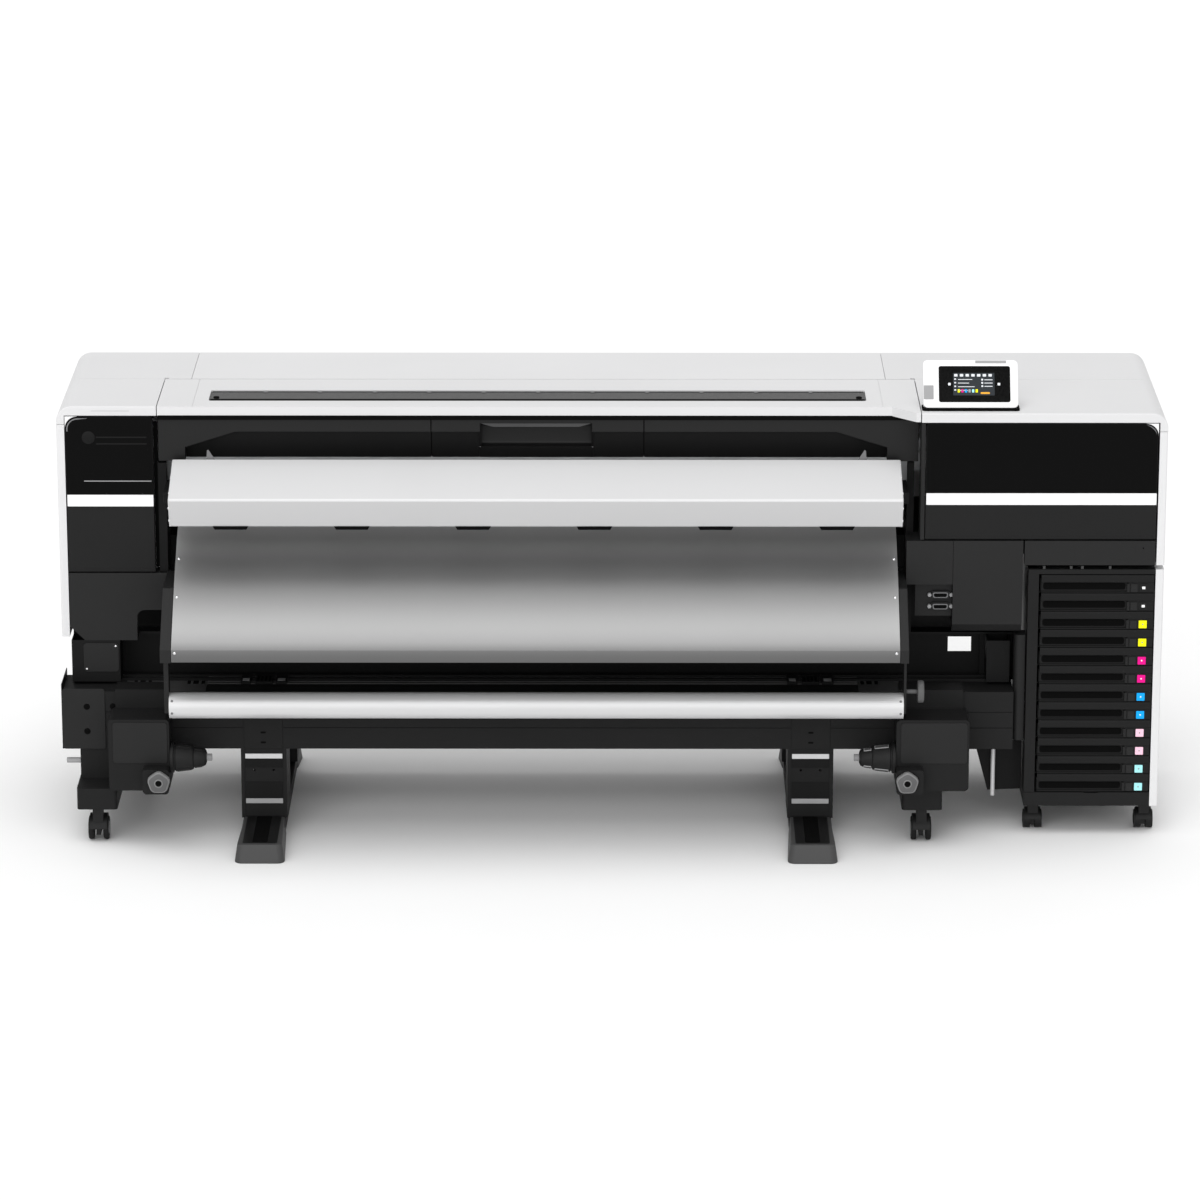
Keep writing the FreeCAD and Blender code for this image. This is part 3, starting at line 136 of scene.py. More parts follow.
# Colour, roughness, scale and depth of the grain, strength of the patches, specular, metallic, coat, stretch.
SURFACES = {
    "cover_white": ((0.7, 0.7, 0.7056), 0.48, 900, 0.12, 0.015, 0.3),
    "panel_white": ((0.72, 0.72, 0.7258), 0.45, 700, 0.1, 0.015, 0.3),
    "lip_white": ((0.84, 0.84, 0.8467), 0.42, 900, 0.08, 0.01, 0.3),
    "cover_charcoal": ((0.014, 0.014, 0.0141), 0.55, 1100, 0.35, 0.1, 0.2),
    "door_charcoal": ((0.01, 0.01, 0.0101), 0.5, 1100, 0.3, 0.08, 0.16),
    "fascia_black": ((0.008, 0.008, 0.0081), 0.42, 900, 0.22, 0.1, 0.1),
    "fascia_band": ((0.011, 0.011, 0.0111), 0.4, 900, 0.2, 0.08, 0.2),
    "frame_charcoal": ((0.01, 0.01, 0.0101), 0.58, 600, 0.45, 0.12, 0.16),
    "chassis_steel": ((0.007, 0.007, 0.0071), 0.55, 500, 0.35, 0.12, 0.12),
    "foot_grey": ((0.055, 0.055, 0.0554), 0.5, 800, 0.4, 0.1, 0.3),
    "sheet_metal": ((0.9, 0.9, 0.9), 0.45, 700, 0.03, 0.015, 0.4, 0.6),
    "hood_shade": ((0.57, 0.57, 0.5746), 0.42, 700, 0.1, 0.012, 0.3),
    "hood_white": ((0.635, 0.635, 0.6401), 0.42, 700, 0.1, 0.012, 0.3),
    "tube_silver": ((0.66, 0.66, 0.665), 0.34, 600, 0.05, 0.01, 0.5, 0.25),
    "rail_aluminium": ((0.55, 0.56, 0.57), 0.35, 300, 0.08, 0.04, 0.5, 1, 0, (0.05, 1, 1)),
    "roller_steel": ((0.42, 0.42, 0.43), 0.4, 2400, 0.8, 0.05, 0.5, 1),
    "bright_steel": ((0.72, 0.72, 0.73), 0.22, 800, 0.06, 0.03, 0.5, 1),
    "rubber_black": ((0.008, 0.008, 0.0081), 0.75, 600, 0.5, 0.12, 0.2),
    "window_smoked": ((0.02, 0.02, 0.0202), 0.2, 60, 0.02, 0.15, 0.22, 0, 0.1),
    "screen_glass": ((0.0008, 0.0008, 0.0008), 0.1, 200, 0.01, 0.05, 0.12),
    "panel_case": ((0.84, 0.84, 0.845), 0.4, 900, 0.1, 0.01, 0.4),
    "knob_edge": ((0.19, 0.19, 0.191), 0.4, 700, 0.3, 0.06, 0.4),
    "knob_grey": ((0.1, 0.1, 0.101), 0.45, 700, 0.35, 0.08, 0.3),
    "tray_black": ((0.008, 0.008, 0.0081), 0.52, 1000, 0.3, 0.1, 0.16),
    "caster_body": ((0.01, 0.01, 0.0101), 0.5, 800, 0.3, 0.1, 0.2),
    "caster_tread": ((0.008, 0.008, 0.0081), 0.68, 500, 0.45, 0.15, 0.2),
    "gloss_black": ((0.0015, 0.0015, 0.0015), 0.07, 90, 0.01, 0.1, 0.07),
    "stripe_white": ((0.93, 0.93, 0.93), 0.45, 700, 0.06, 0.01, 0.3),
    "rim_grey": ((0.16, 0.16, 0.165), 0.22, 600, 0.05, 0.08, 0.5),
    # near black: painted shade for holes, slots and vents drawn as marks, and the colour of black parts such
    # as socket inserts
    "hole_black": ((0.003, 0.003, 0.003), 0.85, 500, 0.2, 0.1, 0.05),
    "detail_grey": ((0.33, 0.33, 0.335), 0.45, 900, 0.1, 0.03, 0.35),
    # lighter grey that paints highlights on the handle's upper edge and sill
    "handle_painted_highlight": ((0.045, 0.045, 0.046), 0.35, 800, 0.1, 0.05, 0.4),
    "detail_white": ((0.56, 0.56, 0.565), 0.45, 800, 0.08, 0.02, 0.3),
    "screen_white": ((0.75, 0.77, 0.8), 0.5, 500, 0.02, 0.02, 0.1),
    "screen_dim": ((0.03, 0.035, 0.04), 0.5, 500, 0.02, 0.02, 0.1),
    "screen_orange": ((0.85, 0.42, 0.05), 0.5, 500, 0.02, 0.02, 0.1),
}
INKS = {
    "mark_black": (0.006, 0.006, 0.006), "mark_yellow": (1, 0.95, 0), "mark_magenta": (0.85, 0, 0.27),
    "mark_cyan": (0, 0.4, 0.95), "mark_light_magenta": (0.96, 0.6, 0.74),
    "mark_light_cyan": (0.4, 0.85, 0.88),
}
LABELS = list(INKS)
MATERIALS = {name: surface(name, *values) for name, values in SURFACES.items()}
for ink_name, ink_colour in INKS.items():
    MATERIALS[ink_name] = surface(ink_name, ink_colour, 0.5, 800, 0.08, 0.02, 0.2)

# Painted shade and painted reflection on the guide sheet: height in metres and share of light, from the
# lowest band up.
SHEET_PAINTED_LIGHT = ((0.555, 0.13), (0.583, 0.16), (0.606, 0.32), (0.64, 0.4), (0.685, 0.29), (0.735, 0.2),
               (0.785, 0.22), (0.843, 0.72))


def paint_light_by_height(material, bands):
    """Paints light and shade into a material's base colour by height, through (metres, share of light) pairs
    from the lowest up.
    """
    tree = material.node_tree
    shader = tree.nodes["Principled BSDF"]
    coords = add_node(tree, "TexCoord", {}, {})
    split = add_node(tree, "SeparateXYZ", {}, {"Vector": coords.outputs["Object"]})
    low, high = bands[0][0], bands[-1][0]
    share = remap(tree, split.outputs["Z"], 0, 1, low, high)
    ramp = add_node(tree, "ValToRGB", {}, {"Fac": share})
    ramp.color_ramp.interpolation = "B_SPLINE"
    points = ramp.color_ramp.elements
    points[0].position, points[1].position = 0, 1
    for height, _ in bands[1:-1]:
        points.new((height - low) / (high - low))
    for point, (_, tone) in zip(points, bands):
        point.color = (tone, tone, tone, 1)
    colour = shader.inputs["Base Color"]
    links = {"A": colour.links[0].from_socket, "B": ramp.outputs["Color"]}
    painted_light = add_node(tree, "Mix", {"Factor": 1}, links, data_type="RGBA", blend_type="MULTIPLY")
    tree.links.new(painted_light.outputs["Result"], colour)


# painted shade under the hood and painted reflection along the bend, in the guide sheet's colour
paint_light_by_height(MATERIALS["sheet_metal"], SHEET_PAINTED_LIGHT)

for node_name, node_object in NODES.items():
    node_object.data.materials.clear()
    node_object.data.materials.append(MATERIALS[SLOT_OF[node_name]])


# ---- mesh helpers, all in millimetres
def arc_corner(before, corner, after, radius, steps):
    """Points of a round corner between two straight sides."""
    a = (Vector(before) - Vector(corner)).normalized()
    b = (Vector(after) - Vector(corner)).normalized()
    half = a.angle(b) / 2
    if radius <= 0 or half > math.radians(89):
        return [tuple(corner)]
    reach = radius / math.tan(half)
    centre = Vector(corner) + (a + b).normalized() * radius / math.sin(half)
    start = Vector(corner) + a * reach - centre
    end = Vector(corner) + b * reach - centre
    sweep = start.angle_signed(end)
    points = []
    for i in range(steps + 1):
        turn = Matrix.Rotation(-sweep * i / steps, 2)
        points.append(tuple(centre + turn @ start))
    return points


def rounded(corners, radius, steps=6):
    """Polygon with round corners; radius is one number or one per corner."""
    count = len(corners)
    radii = radius if isinstance(radius, (list, tuple)) else [radius] * count
    outline = []
    for i in range(count):
        outline += arc_corner(corners[i - 1], corners[i], corners[(i + 1) % count], radii[i], steps)
    return outline


def arc_points(centre, radius, start, end, steps, taper=0):
    """Points round centre from one angle to another; taper draws them in, most at the middle."""
    points = []
    for i in range(steps + 1):
        angle = start + (end - start) * i / steps
        reach = radius - taper * math.sin(math.pi * i / steps)
        points.append((centre[0] + reach * math.cos(angle), centre[1] + reach * math.sin(angle)))
    return points


def sides(left, right):
    return ("left", left), ("right", right)


def rectangle(u0, u1, v0, v1):
    return [(u0, v0), (u1, v0), (u1, v1), (u0, v1)]


PLANES = {"x": lambda u, v, w: (w, u, v), "y": lambda u, v, w: (u, w, v), "z": lambda u, v, w: (u, v, w)}


def add_skin(bm, low, high):
    """Closes two matching rings of vertices into a solid."""
    bm.faces.new(low)
    bm.faces.new(high[::-1])
    for i in range(len(low)):
        j = (i + 1) % len(low)
        bm.faces.new((low[j], low[i], high[i], high[j]))


def add_prism(bm, outline, axis, start, end):
    """Outline of (u, v) points in the plane square to axis, extruded from start to end."""
    place = PLANES[axis]
    low = [bm.verts.new(place(u, v, start)) for u, v in outline]
    high = [bm.verts.new(place(u, v, end)) for u, v in outline]
    add_skin(bm, low, high)


def add_box(bm, x, y, z):
    add_prism(bm, rectangle(*x, *y), "z", *z)


def add_lathe(bm, profile, centre, axis, segments, lobes=0, swell=0):
    """Closed turned shape about an axis through centre, from (radius, distance along it) points."""
    rings = []
    for radius, along in profile:
        ring = []
        for i in range(segments):
            angle = 2 * math.pi * i / segments
            reach = radius + swell * math.cos(lobes * (angle - math.pi / 2))
            u, v = reach * math.cos(angle), reach * math.sin(angle)
            point = Vector(PLANES[axis](u, v, along))
            ring.append(bm.verts.new(Vector(centre) + point))
        rings.append(ring)
    for a, b in zip(rings, rings[1:]):
        for i in range(segments):
            j = (i + 1) % segments
            bm.faces.new((a[i], a[j], b[j], b[i]))
    bm.faces.new(rings[0])
    bm.faces.new(rings[-1][::-1])


def add_turned(bm, part, turn):
    """Adds part to bm through a transform; part is used up."""
    bmesh.ops.transform(part, matrix=turn, verts=part.verts)
    mesh = bpy.data.meshes.new("part")
    part.to_mesh(mesh)
    part.free()
    bm.from_mesh(mesh)
    bpy.data.meshes.remove(mesh)


def disc(radius, start, end, edge):
    """Profile of a disc or rod with small rounded rims."""
    side = 1 if end > start else -1
    near, far = side * edge * 0.3, side * edge
    return [(radius - edge, start), (radius - edge * 0.3, start + near), (radius, start + far),
            (radius, end - far), (radius - edge * 0.3, end - near), (radius - edge, end)]


def add_ribbon(bm, line, thickness, x0, x1):
    """Bent sheet: a (y, z) line given a thickness to its left, extruded along X."""
    back = []
    for i, point in enumerate(line):
        before, after = line[max(i - 1, 0)], line[min(i + 1, len(line) - 1)]
        run = Vector((after[0] - before[0], after[1] - before[1])).normalized()
        back.append((point[0] - run.y * thickness, point[1] + run.x * thickness))
    add_prism(bm, list(line) + back[::-1], "x", x0, x1)


def smooth_line(points, steps=8):
    """Catmull-Rom line through points."""
    line = []
    padded = [points[0]] + list(points) + [points[-1]]
    for a, b, c, d in zip(padded, padded[1:], padded[2:], padded[3:]):
        for i in range(steps):
            t = i / steps
            line.append(tuple(0.5 * (2 * q + (r - p) * t + (2 * p - 5 * q + 4 * r - s) * t * t
                                     + (3 * q - p - 3 * r + s) * t ** 3)
                              for p, q, r, s in zip(a, b, c, d)))
    line.append(tuple(points[-1]))
    return line


def round_line(points, radii, steps=6):
    """Open (y, z) line with its inner corners rounded."""
    line = [tuple(points[0])]
    for i in range(1, len(points) - 1):
        line += arc_corner(points[i - 1], points[i], points[i + 1], radii[i - 1], steps)
    line.append(tuple(points[-1]))
    return line


def shade(obj, angle=35):
    """Smooth shading, kept sharp across edges steeper than angle."""
    mesh = obj.data
    bm = bmesh.new()
    bm.from_mesh(mesh)
    limit = math.radians(angle)
    for face in bm.faces:
        face.smooth = True
    for edge in bm.edges:
        edge.smooth = len(edge.link_faces) == 2 and edge.calc_face_angle(0) < limit
    bm.to_mesh(mesh)
    bm.free()


def bevel(obj, width, segments=2, angle=40):
    modifier = obj.modifiers.new("edge_rounding", "BEVEL")
    modifier.width = width * MM
    modifier.segments = segments
    modifier.limit_method = "ANGLE"
    modifier.angle_limit = math.radians(angle)
    modifier.harden_normals = True


def piece(name, bm, material, body, slot, rounding=0, replaces=()):
    """Object from a bmesh in millimetres, riding on a body."""
    bmesh.ops.recalc_face_normals(bm, faces=bm.faces)
    bmesh.ops.scale(bm, vec=(MM, MM, MM), verts=bm.verts)
    mesh = bpy.data.meshes.new(name)
    bm.to_mesh(mesh)
    bm.free()
    obj = bpy.data.objects.new(name, mesh)
    bpy.context.scene.collection.objects.link(obj)
    mesh.materials.append(MATERIALS[material])
    shade(obj)
    if rounding > 0:
        bevel(obj, rounding)
    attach(obj, body)
    if replaces:
        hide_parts(*replaces)
    return obj


def lathe(name, profile, centre, axis, segments, material, body, slot, replaces=()):
    bm = bmesh.new()
    add_lathe(bm, profile, centre, axis, segments)
    return piece(name, bm, material, body, slot, 0, replaces)


def prisms(name, outlines, axis, start, end, material, body, slot, rounding=0, replaces=()):
    """One object made of several outlines, all extruded from start to end."""
    bm = bmesh.new()
    for outline in outlines:
        add_prism(bm, outline, axis, start, end)
    return piece(name, bm, material, body, slot, rounding, replaces)


def prism(name, outline, axis, start, end, material, body, slot, rounding=0, replaces=()):
    return prisms(name, [outline], axis, start, end, material, body, slot, rounding, replaces)


def boxes(name, extents, material, body, slot, rounding=0, replaces=()):
    """One object made of several boxes, each given by its (x, y, z) extents."""
    bm = bmesh.new()
    for x, y, z in extents:
        add_box(bm, x, y, z)
    return piece(name, bm, material, body, slot, rounding, replaces)


def box(name, x, y, z, material, body, slot, rounding=0.6, replaces=()):
    return boxes(name, [(x, y, z)], material, body, slot, rounding, replaces)


def ribbon(name, line, thickness, x0, x1, material, body, slot, rounding=0, replaces=()):
    bm = bmesh.new()
    add_ribbon(bm, line, thickness, x0, x1)
    return piece(name, bm, material, body, slot, rounding, replaces)


def plate_y(name, x, z, y, radius, material, body, slot, rounding=0.5):
    """Plate with round corners, square to Y."""
    outline = rounded(rectangle(*x, *z), radius, 5)
    return prism(name, outline, "y", *y, material, body, slot, rounding)


def plate_z(name, x, y, z, radius, material, body, slot, rounding=0.5):
    """Plate with round corners, lying flat."""
    outline = rounded(rectangle(*x, *y), radius, 5)
    return prism(name, outline, "z", *z, material, body, slot, rounding)


def add_screw(bm, centre, axis, radius, height):
    """Domed screw head; height is signed and points away from the surface."""
    profile = [(radius, -height), (radius, height * 0.45), (radius * 0.8, height * 0.8),
               (radius * 0.45, height)]
    add_lathe(bm, profile, centre, axis, 16)


def screws(name, centres, axis, radius, height, material, body, slot):
    bm = bmesh.new()
    for centre in centres:
        add_screw(bm, centre, axis, radius, height)
    return piece(name, bm, material, body, slot)


# Body and CAD slot that many pieces share, and the nodes that whole sets of them stand for.
FRAME = ("printer", "frame_charcoal")
CHASSIS = ("printer", "chassis_steel")
STEEL = ("printer", "roller_steel")
RUBBER = ("printer", "rubber_black")
FOOT = ("printer", "foot_grey")
HOOD = ("printer", "hood_white")
LEFT_DOOR = ("left_door", "door_charcoal")
COVER_DARK = ("front_cover", "fascia_black")
DRYER = ("drying_unit",)
GUIDE = ("heater_panel",)


# ---- CAD nodes: rounded edges
EDGE_ROUNDING = {
    0.8: ["platen"] + ["ink_tray_%02d" % number for number in TRAY_NUMBERS],
    1: ["chassis", "rear_cover", "carriage_rail", "front_cover_frame"],
    1.2: ["left_top_cover", "right_top_cover", "ink_cabinet", "left_maintenance_cover",
          "right_maintenance_cover"],
    1.5: ["stand_beam", "stand_frame", "left_side_panel", "right_side_panel", "left_lower_cover",
          "right_lower_cover", "cabinet_side_panel", "rear_feed_unit", "carriage"],
    2: ["panel_housing", "takeup_left", "takeup_right"],
}
for node_object in NODES.values():
    for polygon in node_object.data.polygons:
        polygon.use_smooth = False
for edge_width, node_names in EDGE_ROUNDING.items():
    for node_name in node_names:
        bevel(NODES[node_name], edge_width, 2, 50)


# ---- doors
left_door, right_door = Span("left_maintenance_cover"), Span("right_maintenance_cover")
LEFT_WINDOW_LOW, RIGHT_WINDOW_LOW = left_door.z1 - 215, right_door.z1 - 190
STRIPE_HEIGHT = 33
DOOR_CORNER = 33


def door_faces(door, body, corner_side, low):
    """Gloss panel above low with one large round corner, and the white stripe and plain panel below it."""
    front = door.y0
    x0, x1 = door.x0 + 1, door.x1 - 1
    stripe_low = low - STRIPE_HEIGHT
    window = rounded(rectangle(x0, x1, low, door.z1 - 1), [2, 2] + [DOOR_CORNER, 3][::corner_side])
    prism(body + "_window", window, "y", front - 2.2, front - 0.2, "gloss_black", body, "door_charcoal", 0.5)
    stripe = rounded(rectangle(x0 + 1, x1, stripe_low, low - 1), 1, 2)
    prism(body + "_stripe", stripe, "y", front - 2.4, front - 0.2, "stripe_white", body, "cover_white", 0.4)
    panel = rounded(rectangle(x0, x1, door.z0 + 11, stripe_low - 1), 1.5, 2)
    prism(body + "_panel", panel, "y", front - 1.8, front - 0.2, "door_charcoal", body, "door_charcoal", 0.5)
    x, start = (door.x1, 0) if corner_side > 0 else (door.x0, math.pi / 2)
    centre = (x - corner_side * DOOR_CORNER, door.z1 - DOOR_CORNER)
    corner = [(x, door.z1)] + arc_points(centre, DOOR_CORNER, start, start + math.pi / 2, 8)
    prism(body + "_corner", corner, "y", front - 2.6, front + 0.4, "lip_white", body, "cover_white", 0.3)


def left_window_trim():
    """Moulded rim along the top of the smoked window in a lighter grey as a painted highlight, and the bar
    seen through it.
    """
    x0, x1, z1, front = left_door.x0 + 4, left_door.x1 - 4, left_door.z1 - 5, left_door.y0
    radius, width, steps = 30, 3.2, 10
    centre = (x0 + radius, z1 - radius)
    outer = [(x0, centre[1] - 6)] + arc_points(centre, radius, math.pi, math.pi / 2, steps)
    inner = [(x0 + width, centre[1] - 6)] + arc_points(centre, radius - width, math.pi, math.pi / 2, steps)
    outer.append((centre[0] + 26, z1))
    inner.append((centre[0] + 26, z1 - 0.6))
    # lighter grey rim: painted highlight on the window's top edge
    prism("left_door_rim_highlight", outer + inner[::-1], "y", front - 3, front - 2, "rim_grey", *LEFT_DOOR, 0.3)
    bar = rectangle(x0 + 44, x1 - 1, LEFT_WINDOW_LOW + 36, LEFT_WINDOW_LOW + 38.5)
    prism("left_door_bar", bar, "y", front - 2.8, front - 2, "detail_grey", *LEFT_DOOR, 0.2)


def window_works():
    """Pulley and two rails that show faintly through the smoked left window."""
    x0, x1, z1, front = left_door.x0, left_door.x1, left_door.z1, left_door.y0
    lathe("window_pulley", disc(17.5, front - 2.7, front - 2, 0.3), (x0 + 62, 0, z1 - 58),
          "y", 32, "fascia_black", *LEFT_DOOR)
    for i, z in enumerate((z1 - 57, z1 - 75)):
        plate_y("window_rail_%d" % i, (x0 + 82, x1 - 16), (z - 2, z + 2), (front - 2.7, front - 2), 1,
                "fascia_black", *LEFT_DOOR, 0.2)


door_faces(left_door, "left_door", -1, LEFT_WINDOW_LOW)
door_faces(right_door, "right_door", 1, RIGHT_WINDOW_LOW)
left_window_trim()
window_works()


# ---- ink trays
def tray_details(number):
    """Colour label with its mark, a black plate as painted shade in the recess, latch button and tab on one
    tray front.
    """
    tray = Span("ink_tray_%02d" % number)
    body = "tray_%02d" % number
    label = LABELS[(number - 1) // 2]
    z0, z1 = tray.z1 - 47.5, tray.z1 - 25

    def flat(part, x, z, y, radius, material, rounding=0, steps=3):
        outline = rounded(rectangle(*x, *z), radius, steps)
        prism(body + part, outline, "y", tray.y0 + y[0], tray.y0 + y[1], material, body, "tray_black",
              rounding)

    def from_right(start, end):
        return tray.x1 - start, tray.x1 - end

    flat("_label", from_right(38.5, 17), (z0 + 1, z1), (1.4, 3.2), 1.5, label, 0.3)
    if number > 2:
        tone = "stripe_white" if label in ("mark_magenta", "mark_cyan") else "detail_grey"
        flat("_mark", from_right(29.5, 26), (z0 + 10, z0 + 14), (0.9, 1.5), 1.2, tone)
    else:
        flat("_mark", from_right(32, 23.5), (z0 + 8.5, z0 + 15.5), (0.9, 1.5), 1, "stripe_white")
    # black plate: painted shade in the recess
    flat("_recess", (tray.x0 + 7, tray.x1 - 76), (tray.z1 - 42, tray.z1 - 23), (7.4, 8.6), 6,
         "hole_black", 0.2, 4)
    flat("_button", from_right(62, 44), (z0, z1), (0.8, 3.2), 1.5, "cover_charcoal", 0.6)
    flat("_tab", from_right(72, 65), (z0, z1 + 1), (0.4, 12), 1, "fascia_band", 0.6)


for tray_number in TRAY_NUMBERS:
    tray_details(tray_number)


# ---- control panel
housing, screen = Span("panel_housing"), Span("panel_screen")
SCREEN_RISE, SCREEN_RUN = 1.7, 2.9  # what the screen's thickness adds to its extents in Z and Y
SCREEN_LENGTH = 99.4
PANEL_TILT = math.atan2(screen.z1 - screen.z0 - SCREEN_RISE, screen.y1 - screen.y0 - SCREEN_RUN)


def on_panel(u0, u1, v0, v1, lift, thick):
    """Plate drawn flat on the screen, u along X and v up the screen, in its place on the tilted panel."""
    bm = bmesh.new()
    outline = rounded(rectangle(u0, u1, v0, v1), min(1.2, (v1 - v0) / 2.2, (u1 - u0) / 2.2), 3)
    add_prism(bm, outline, "z", lift, lift + thick)
    origin = Vector((screen.x0, screen.y0, screen.z0 + SCREEN_RISE))
    place = Matrix.Translation(origin) @ Matrix.Rotation(PANEL_TILT, 4, "X")
    bmesh.ops.transform(bm, matrix=place, verts=bm.verts)
    return bm


def panel_details():
    """Display contents as flush tiles, touch dots, power mark and the sensor strip on the case."""
    wide = screen.x1 - screen.x0
    cx, cy = wide * 0.49, SCREEN_LENGTH * 0.5
    left, right, low, top = cx - 55, cx + 55, cy - 31, cy + 31

    def tile(name, u0, u1, v0, v1, material, lift=-0.2, thick=0.5):
        piece(name, on_panel(u0, u1, v0, v1, lift, thick), material, "control_panel", "screen_glass")

    tile("display_field", left, right, low, top, "screen_dim", -0.3)
    for i in range(7):
        u = left + 3 + i * 15.2
        tile("display_icon_%d" % i, u, u + 9, top - 10, top - 3, "screen_white")
    for i, length in enumerate((38, 30, 44, 26)):
        v = cy + 12 - i * 10
        tile("display_row_%d" % i, left + 3, left + 8, v, v + 4, "screen_white")
        tile("display_line_%d" % i, left + 13, left + 13 + length, v, v + 1.8, "screen_white")
    inks = ("mark_yellow", "mark_magenta", "mark_cyan", "detail_grey", "mark_light_cyan", "mark_yellow")
    for i, ink in enumerate(inks):
        u = left + 12 + i * 9.5
        tile("display_ink_%d" % i, u, u + 6, low + 8, low + 17, ink)
    tile("display_order", cx + 18, cx + 42, low + 4, low + 9, "screen_orange")
    for i in range(3):
        v = cy + 10 - i * 9
        tile("display_side_%d" % i, cx + 20, cx + 25, v, v + 5, "screen_white")
        tile("display_note_%d" % i, cx + 28, cx + 50, v + 1, v + 3, "screen_white")
    for i, u in enumerate((28, wide - 30)):
        tile("touch_dot_%d" % i, u - 3.5, u + 3.5, cy - 3.5, cy + 3.5, "screen_white", 0.1)
    u = housing.x0 - screen.x0
    tile("sensor_strip", u + 1, u + 27, 8, 46, "detail_grey", 0.7, 0.6)
    tile("power_button", u + 14, u + 22, 78, 86, "lip_white", 0.7, 0.6)
    tile("slot_cover", wide - 92, wide - 10, SCREEN_LENGTH + 8, SCREEN_LENGTH + 15, "detail_grey", 0.7, 0.6)


panel_details()


# ---- front cover: dark fascia
cover, fascia = Span("front_cover_frame"), Span("front_cover_fascia")
SEAM_GAP = 0.8
SEAM_LEFT, SEAM_RIGHT = fascia.xm - 286, fascia.xm + 281.5
HANDLE = (fascia.xm - 155, fascia.xm + 143)
FASCIA_FRONT = cover.y0 + 73
BAND_TOP, BAND_LOW, SLOPE_LOW = fascia.z1 - 9, fascia.z1 - 46.5, fascia.z1 - 89
CHEEK_W, SLOPE_W = 72, 134


def fascia_frame():
    """Band and end cheeks in one plane, in three lengths with seams between them."""
    low, grip = fascia.z0 + 4, BAND_TOP - 14
    left, right = fascia.x0, fascia.x1
    a, b = left + CHEEK_W, right - CHEEK_W - 12
    c, d = SEAM_LEFT - SEAM_GAP, SEAM_LEFT + SEAM_GAP
    e, f = SEAM_RIGHT - SEAM_GAP, SEAM_RIGHT + SEAM_GAP
    outlines = {
        "left": [(left, BAND_TOP), (left, low), (a, low), (a, SLOPE_LOW), (a + SLOPE_W, BAND_LOW),
                 (c, BAND_LOW), (c, BAND_TOP)],
        "middle": [(d, BAND_TOP), (d, BAND_LOW), (HANDLE[0], BAND_LOW), (HANDLE[0], grip), (HANDLE[1], grip),
                   (HANDLE[1], BAND_LOW), (e, BAND_LOW), (e, BAND_TOP)],
        "right": [(f, BAND_TOP), (f, BAND_LOW), (b - SLOPE_W, BAND_LOW), (b, SLOPE_LOW), (b, low),
                  (right, low), (right, BAND_TOP)],
    }
    for name, outline in outlines.items():
        prism("fascia_frame_" + name, outline, "y", FASCIA_FRONT, FASCIA_FRONT + 34, "fascia_band",
              *COVER_DARK, 1.6, ("front_cover_fascia",))


def fascia_face():
    """Leaning face behind the band, a black strip under the lip as painted shade, and black sheets behind the
    face as painted shade in its gaps.
    """
    front = FASCIA_FRONT
    a, b = fascia.x0 + CHEEK_W - 6, fascia.x1 - CHEEK_W - 6
    top, low = (front + 28, BAND_LOW + 8), (front + 43, fascia.z0 + 6)
    under_handle = (front + 37, fascia.z0 + 34)
    parts = ((a, SEAM_LEFT - SEAM_GAP, top), (SEAM_LEFT + SEAM_GAP, HANDLE[0] - 3, top),
             (HANDLE[1] + 3, SEAM_RIGHT - SEAM_GAP, top), (SEAM_RIGHT + SEAM_GAP, b, top),
             (HANDLE[0] - 3, HANDLE[1] + 3, under_handle))
    for i, (x0, x1, upper) in enumerate(parts):
        ribbon("fascia_face_%d" % i, [upper, low], -5, x0, x1, "fascia_black", *COVER_DARK, 0.8)
    # painted shade under the lip
    strip = [(front + 3, fascia.z1), (front + 2, BAND_TOP - 3)]
    ribbon("fascia_lip_shade", strip, -12, fascia.x0 + 1, fascia.x1 - 1, "hole_black", *COVER_DARK, 0.5)
    # painted shade seen through the gaps in the face
    back = [(front + 36, BAND_TOP - 2), (front + 50, fascia.z0 + 6)]
    for name, x0, x1 in (("left", a, HANDLE[0] - 6), ("right", HANDLE[1] + 6, b)):
        ribbon("fascia_gap_shade_" + name, back, -2, x0, x1, "hole_black", *COVER_DARK)


def handle_details():
    """Pocket of the handle with its ends, and its upper edge and sill in a lighter grey as painted
    highlights.
    """
    front = FASCIA_FRONT
    y0, y1 = front + 10, front + 57
    z0, z1 = fascia.z0 + 38, BAND_TOP - 15
    pocket = round_line([(y0 - 8, z1 + 2), (y0 + 6, z1 - 3), (y1, z1 - 12), (y1, z0),
                         (y0 + 26, z0 - 3)], (3, 12, 8))
    ribbon("handle_pocket", pocket, 2, HANDLE[0] + 0.5, HANDLE[1] - 0.5, "fascia_band", *COVER_DARK)
    cheek = [(y0 - 9, z1 + 1), (y1 + 1, z1 + 1), (y1 + 1, z0 - 3), (y0 + 26, z0 - 3)]
    for side, x in sides(HANDLE[0] - 4, HANDLE[1] - 2):
        prism("handle_end_" + side, cheek, "x", x, x + 6, "fascia_black", *COVER_DARK, 0.3)
    # lighter grey sliver: painted highlight on the pocket's upper edge
    edge = [(HANDLE[0] + 1, z1 + 1.5), (HANDLE[1] - 1, z1 + 1.5), (HANDLE[1] - 34, z1 - 8),
            (HANDLE[0] + 34, z1 - 8)]
    prism("handle_painted_highlight", edge, "y", front - 0.6, front + 8, "handle_painted_highlight", *COVER_DARK, 0.4)
    plate_y("handle_sill", (HANDLE[0] + 6, HANDLE[1] - 2), (z0 - 8, z0 - 5.5),
            (front + 34, front + 40), 0.8, "handle_painted_highlight", *COVER_DARK, 0.3)


fascia_frame()
fascia_face()
handle_details()


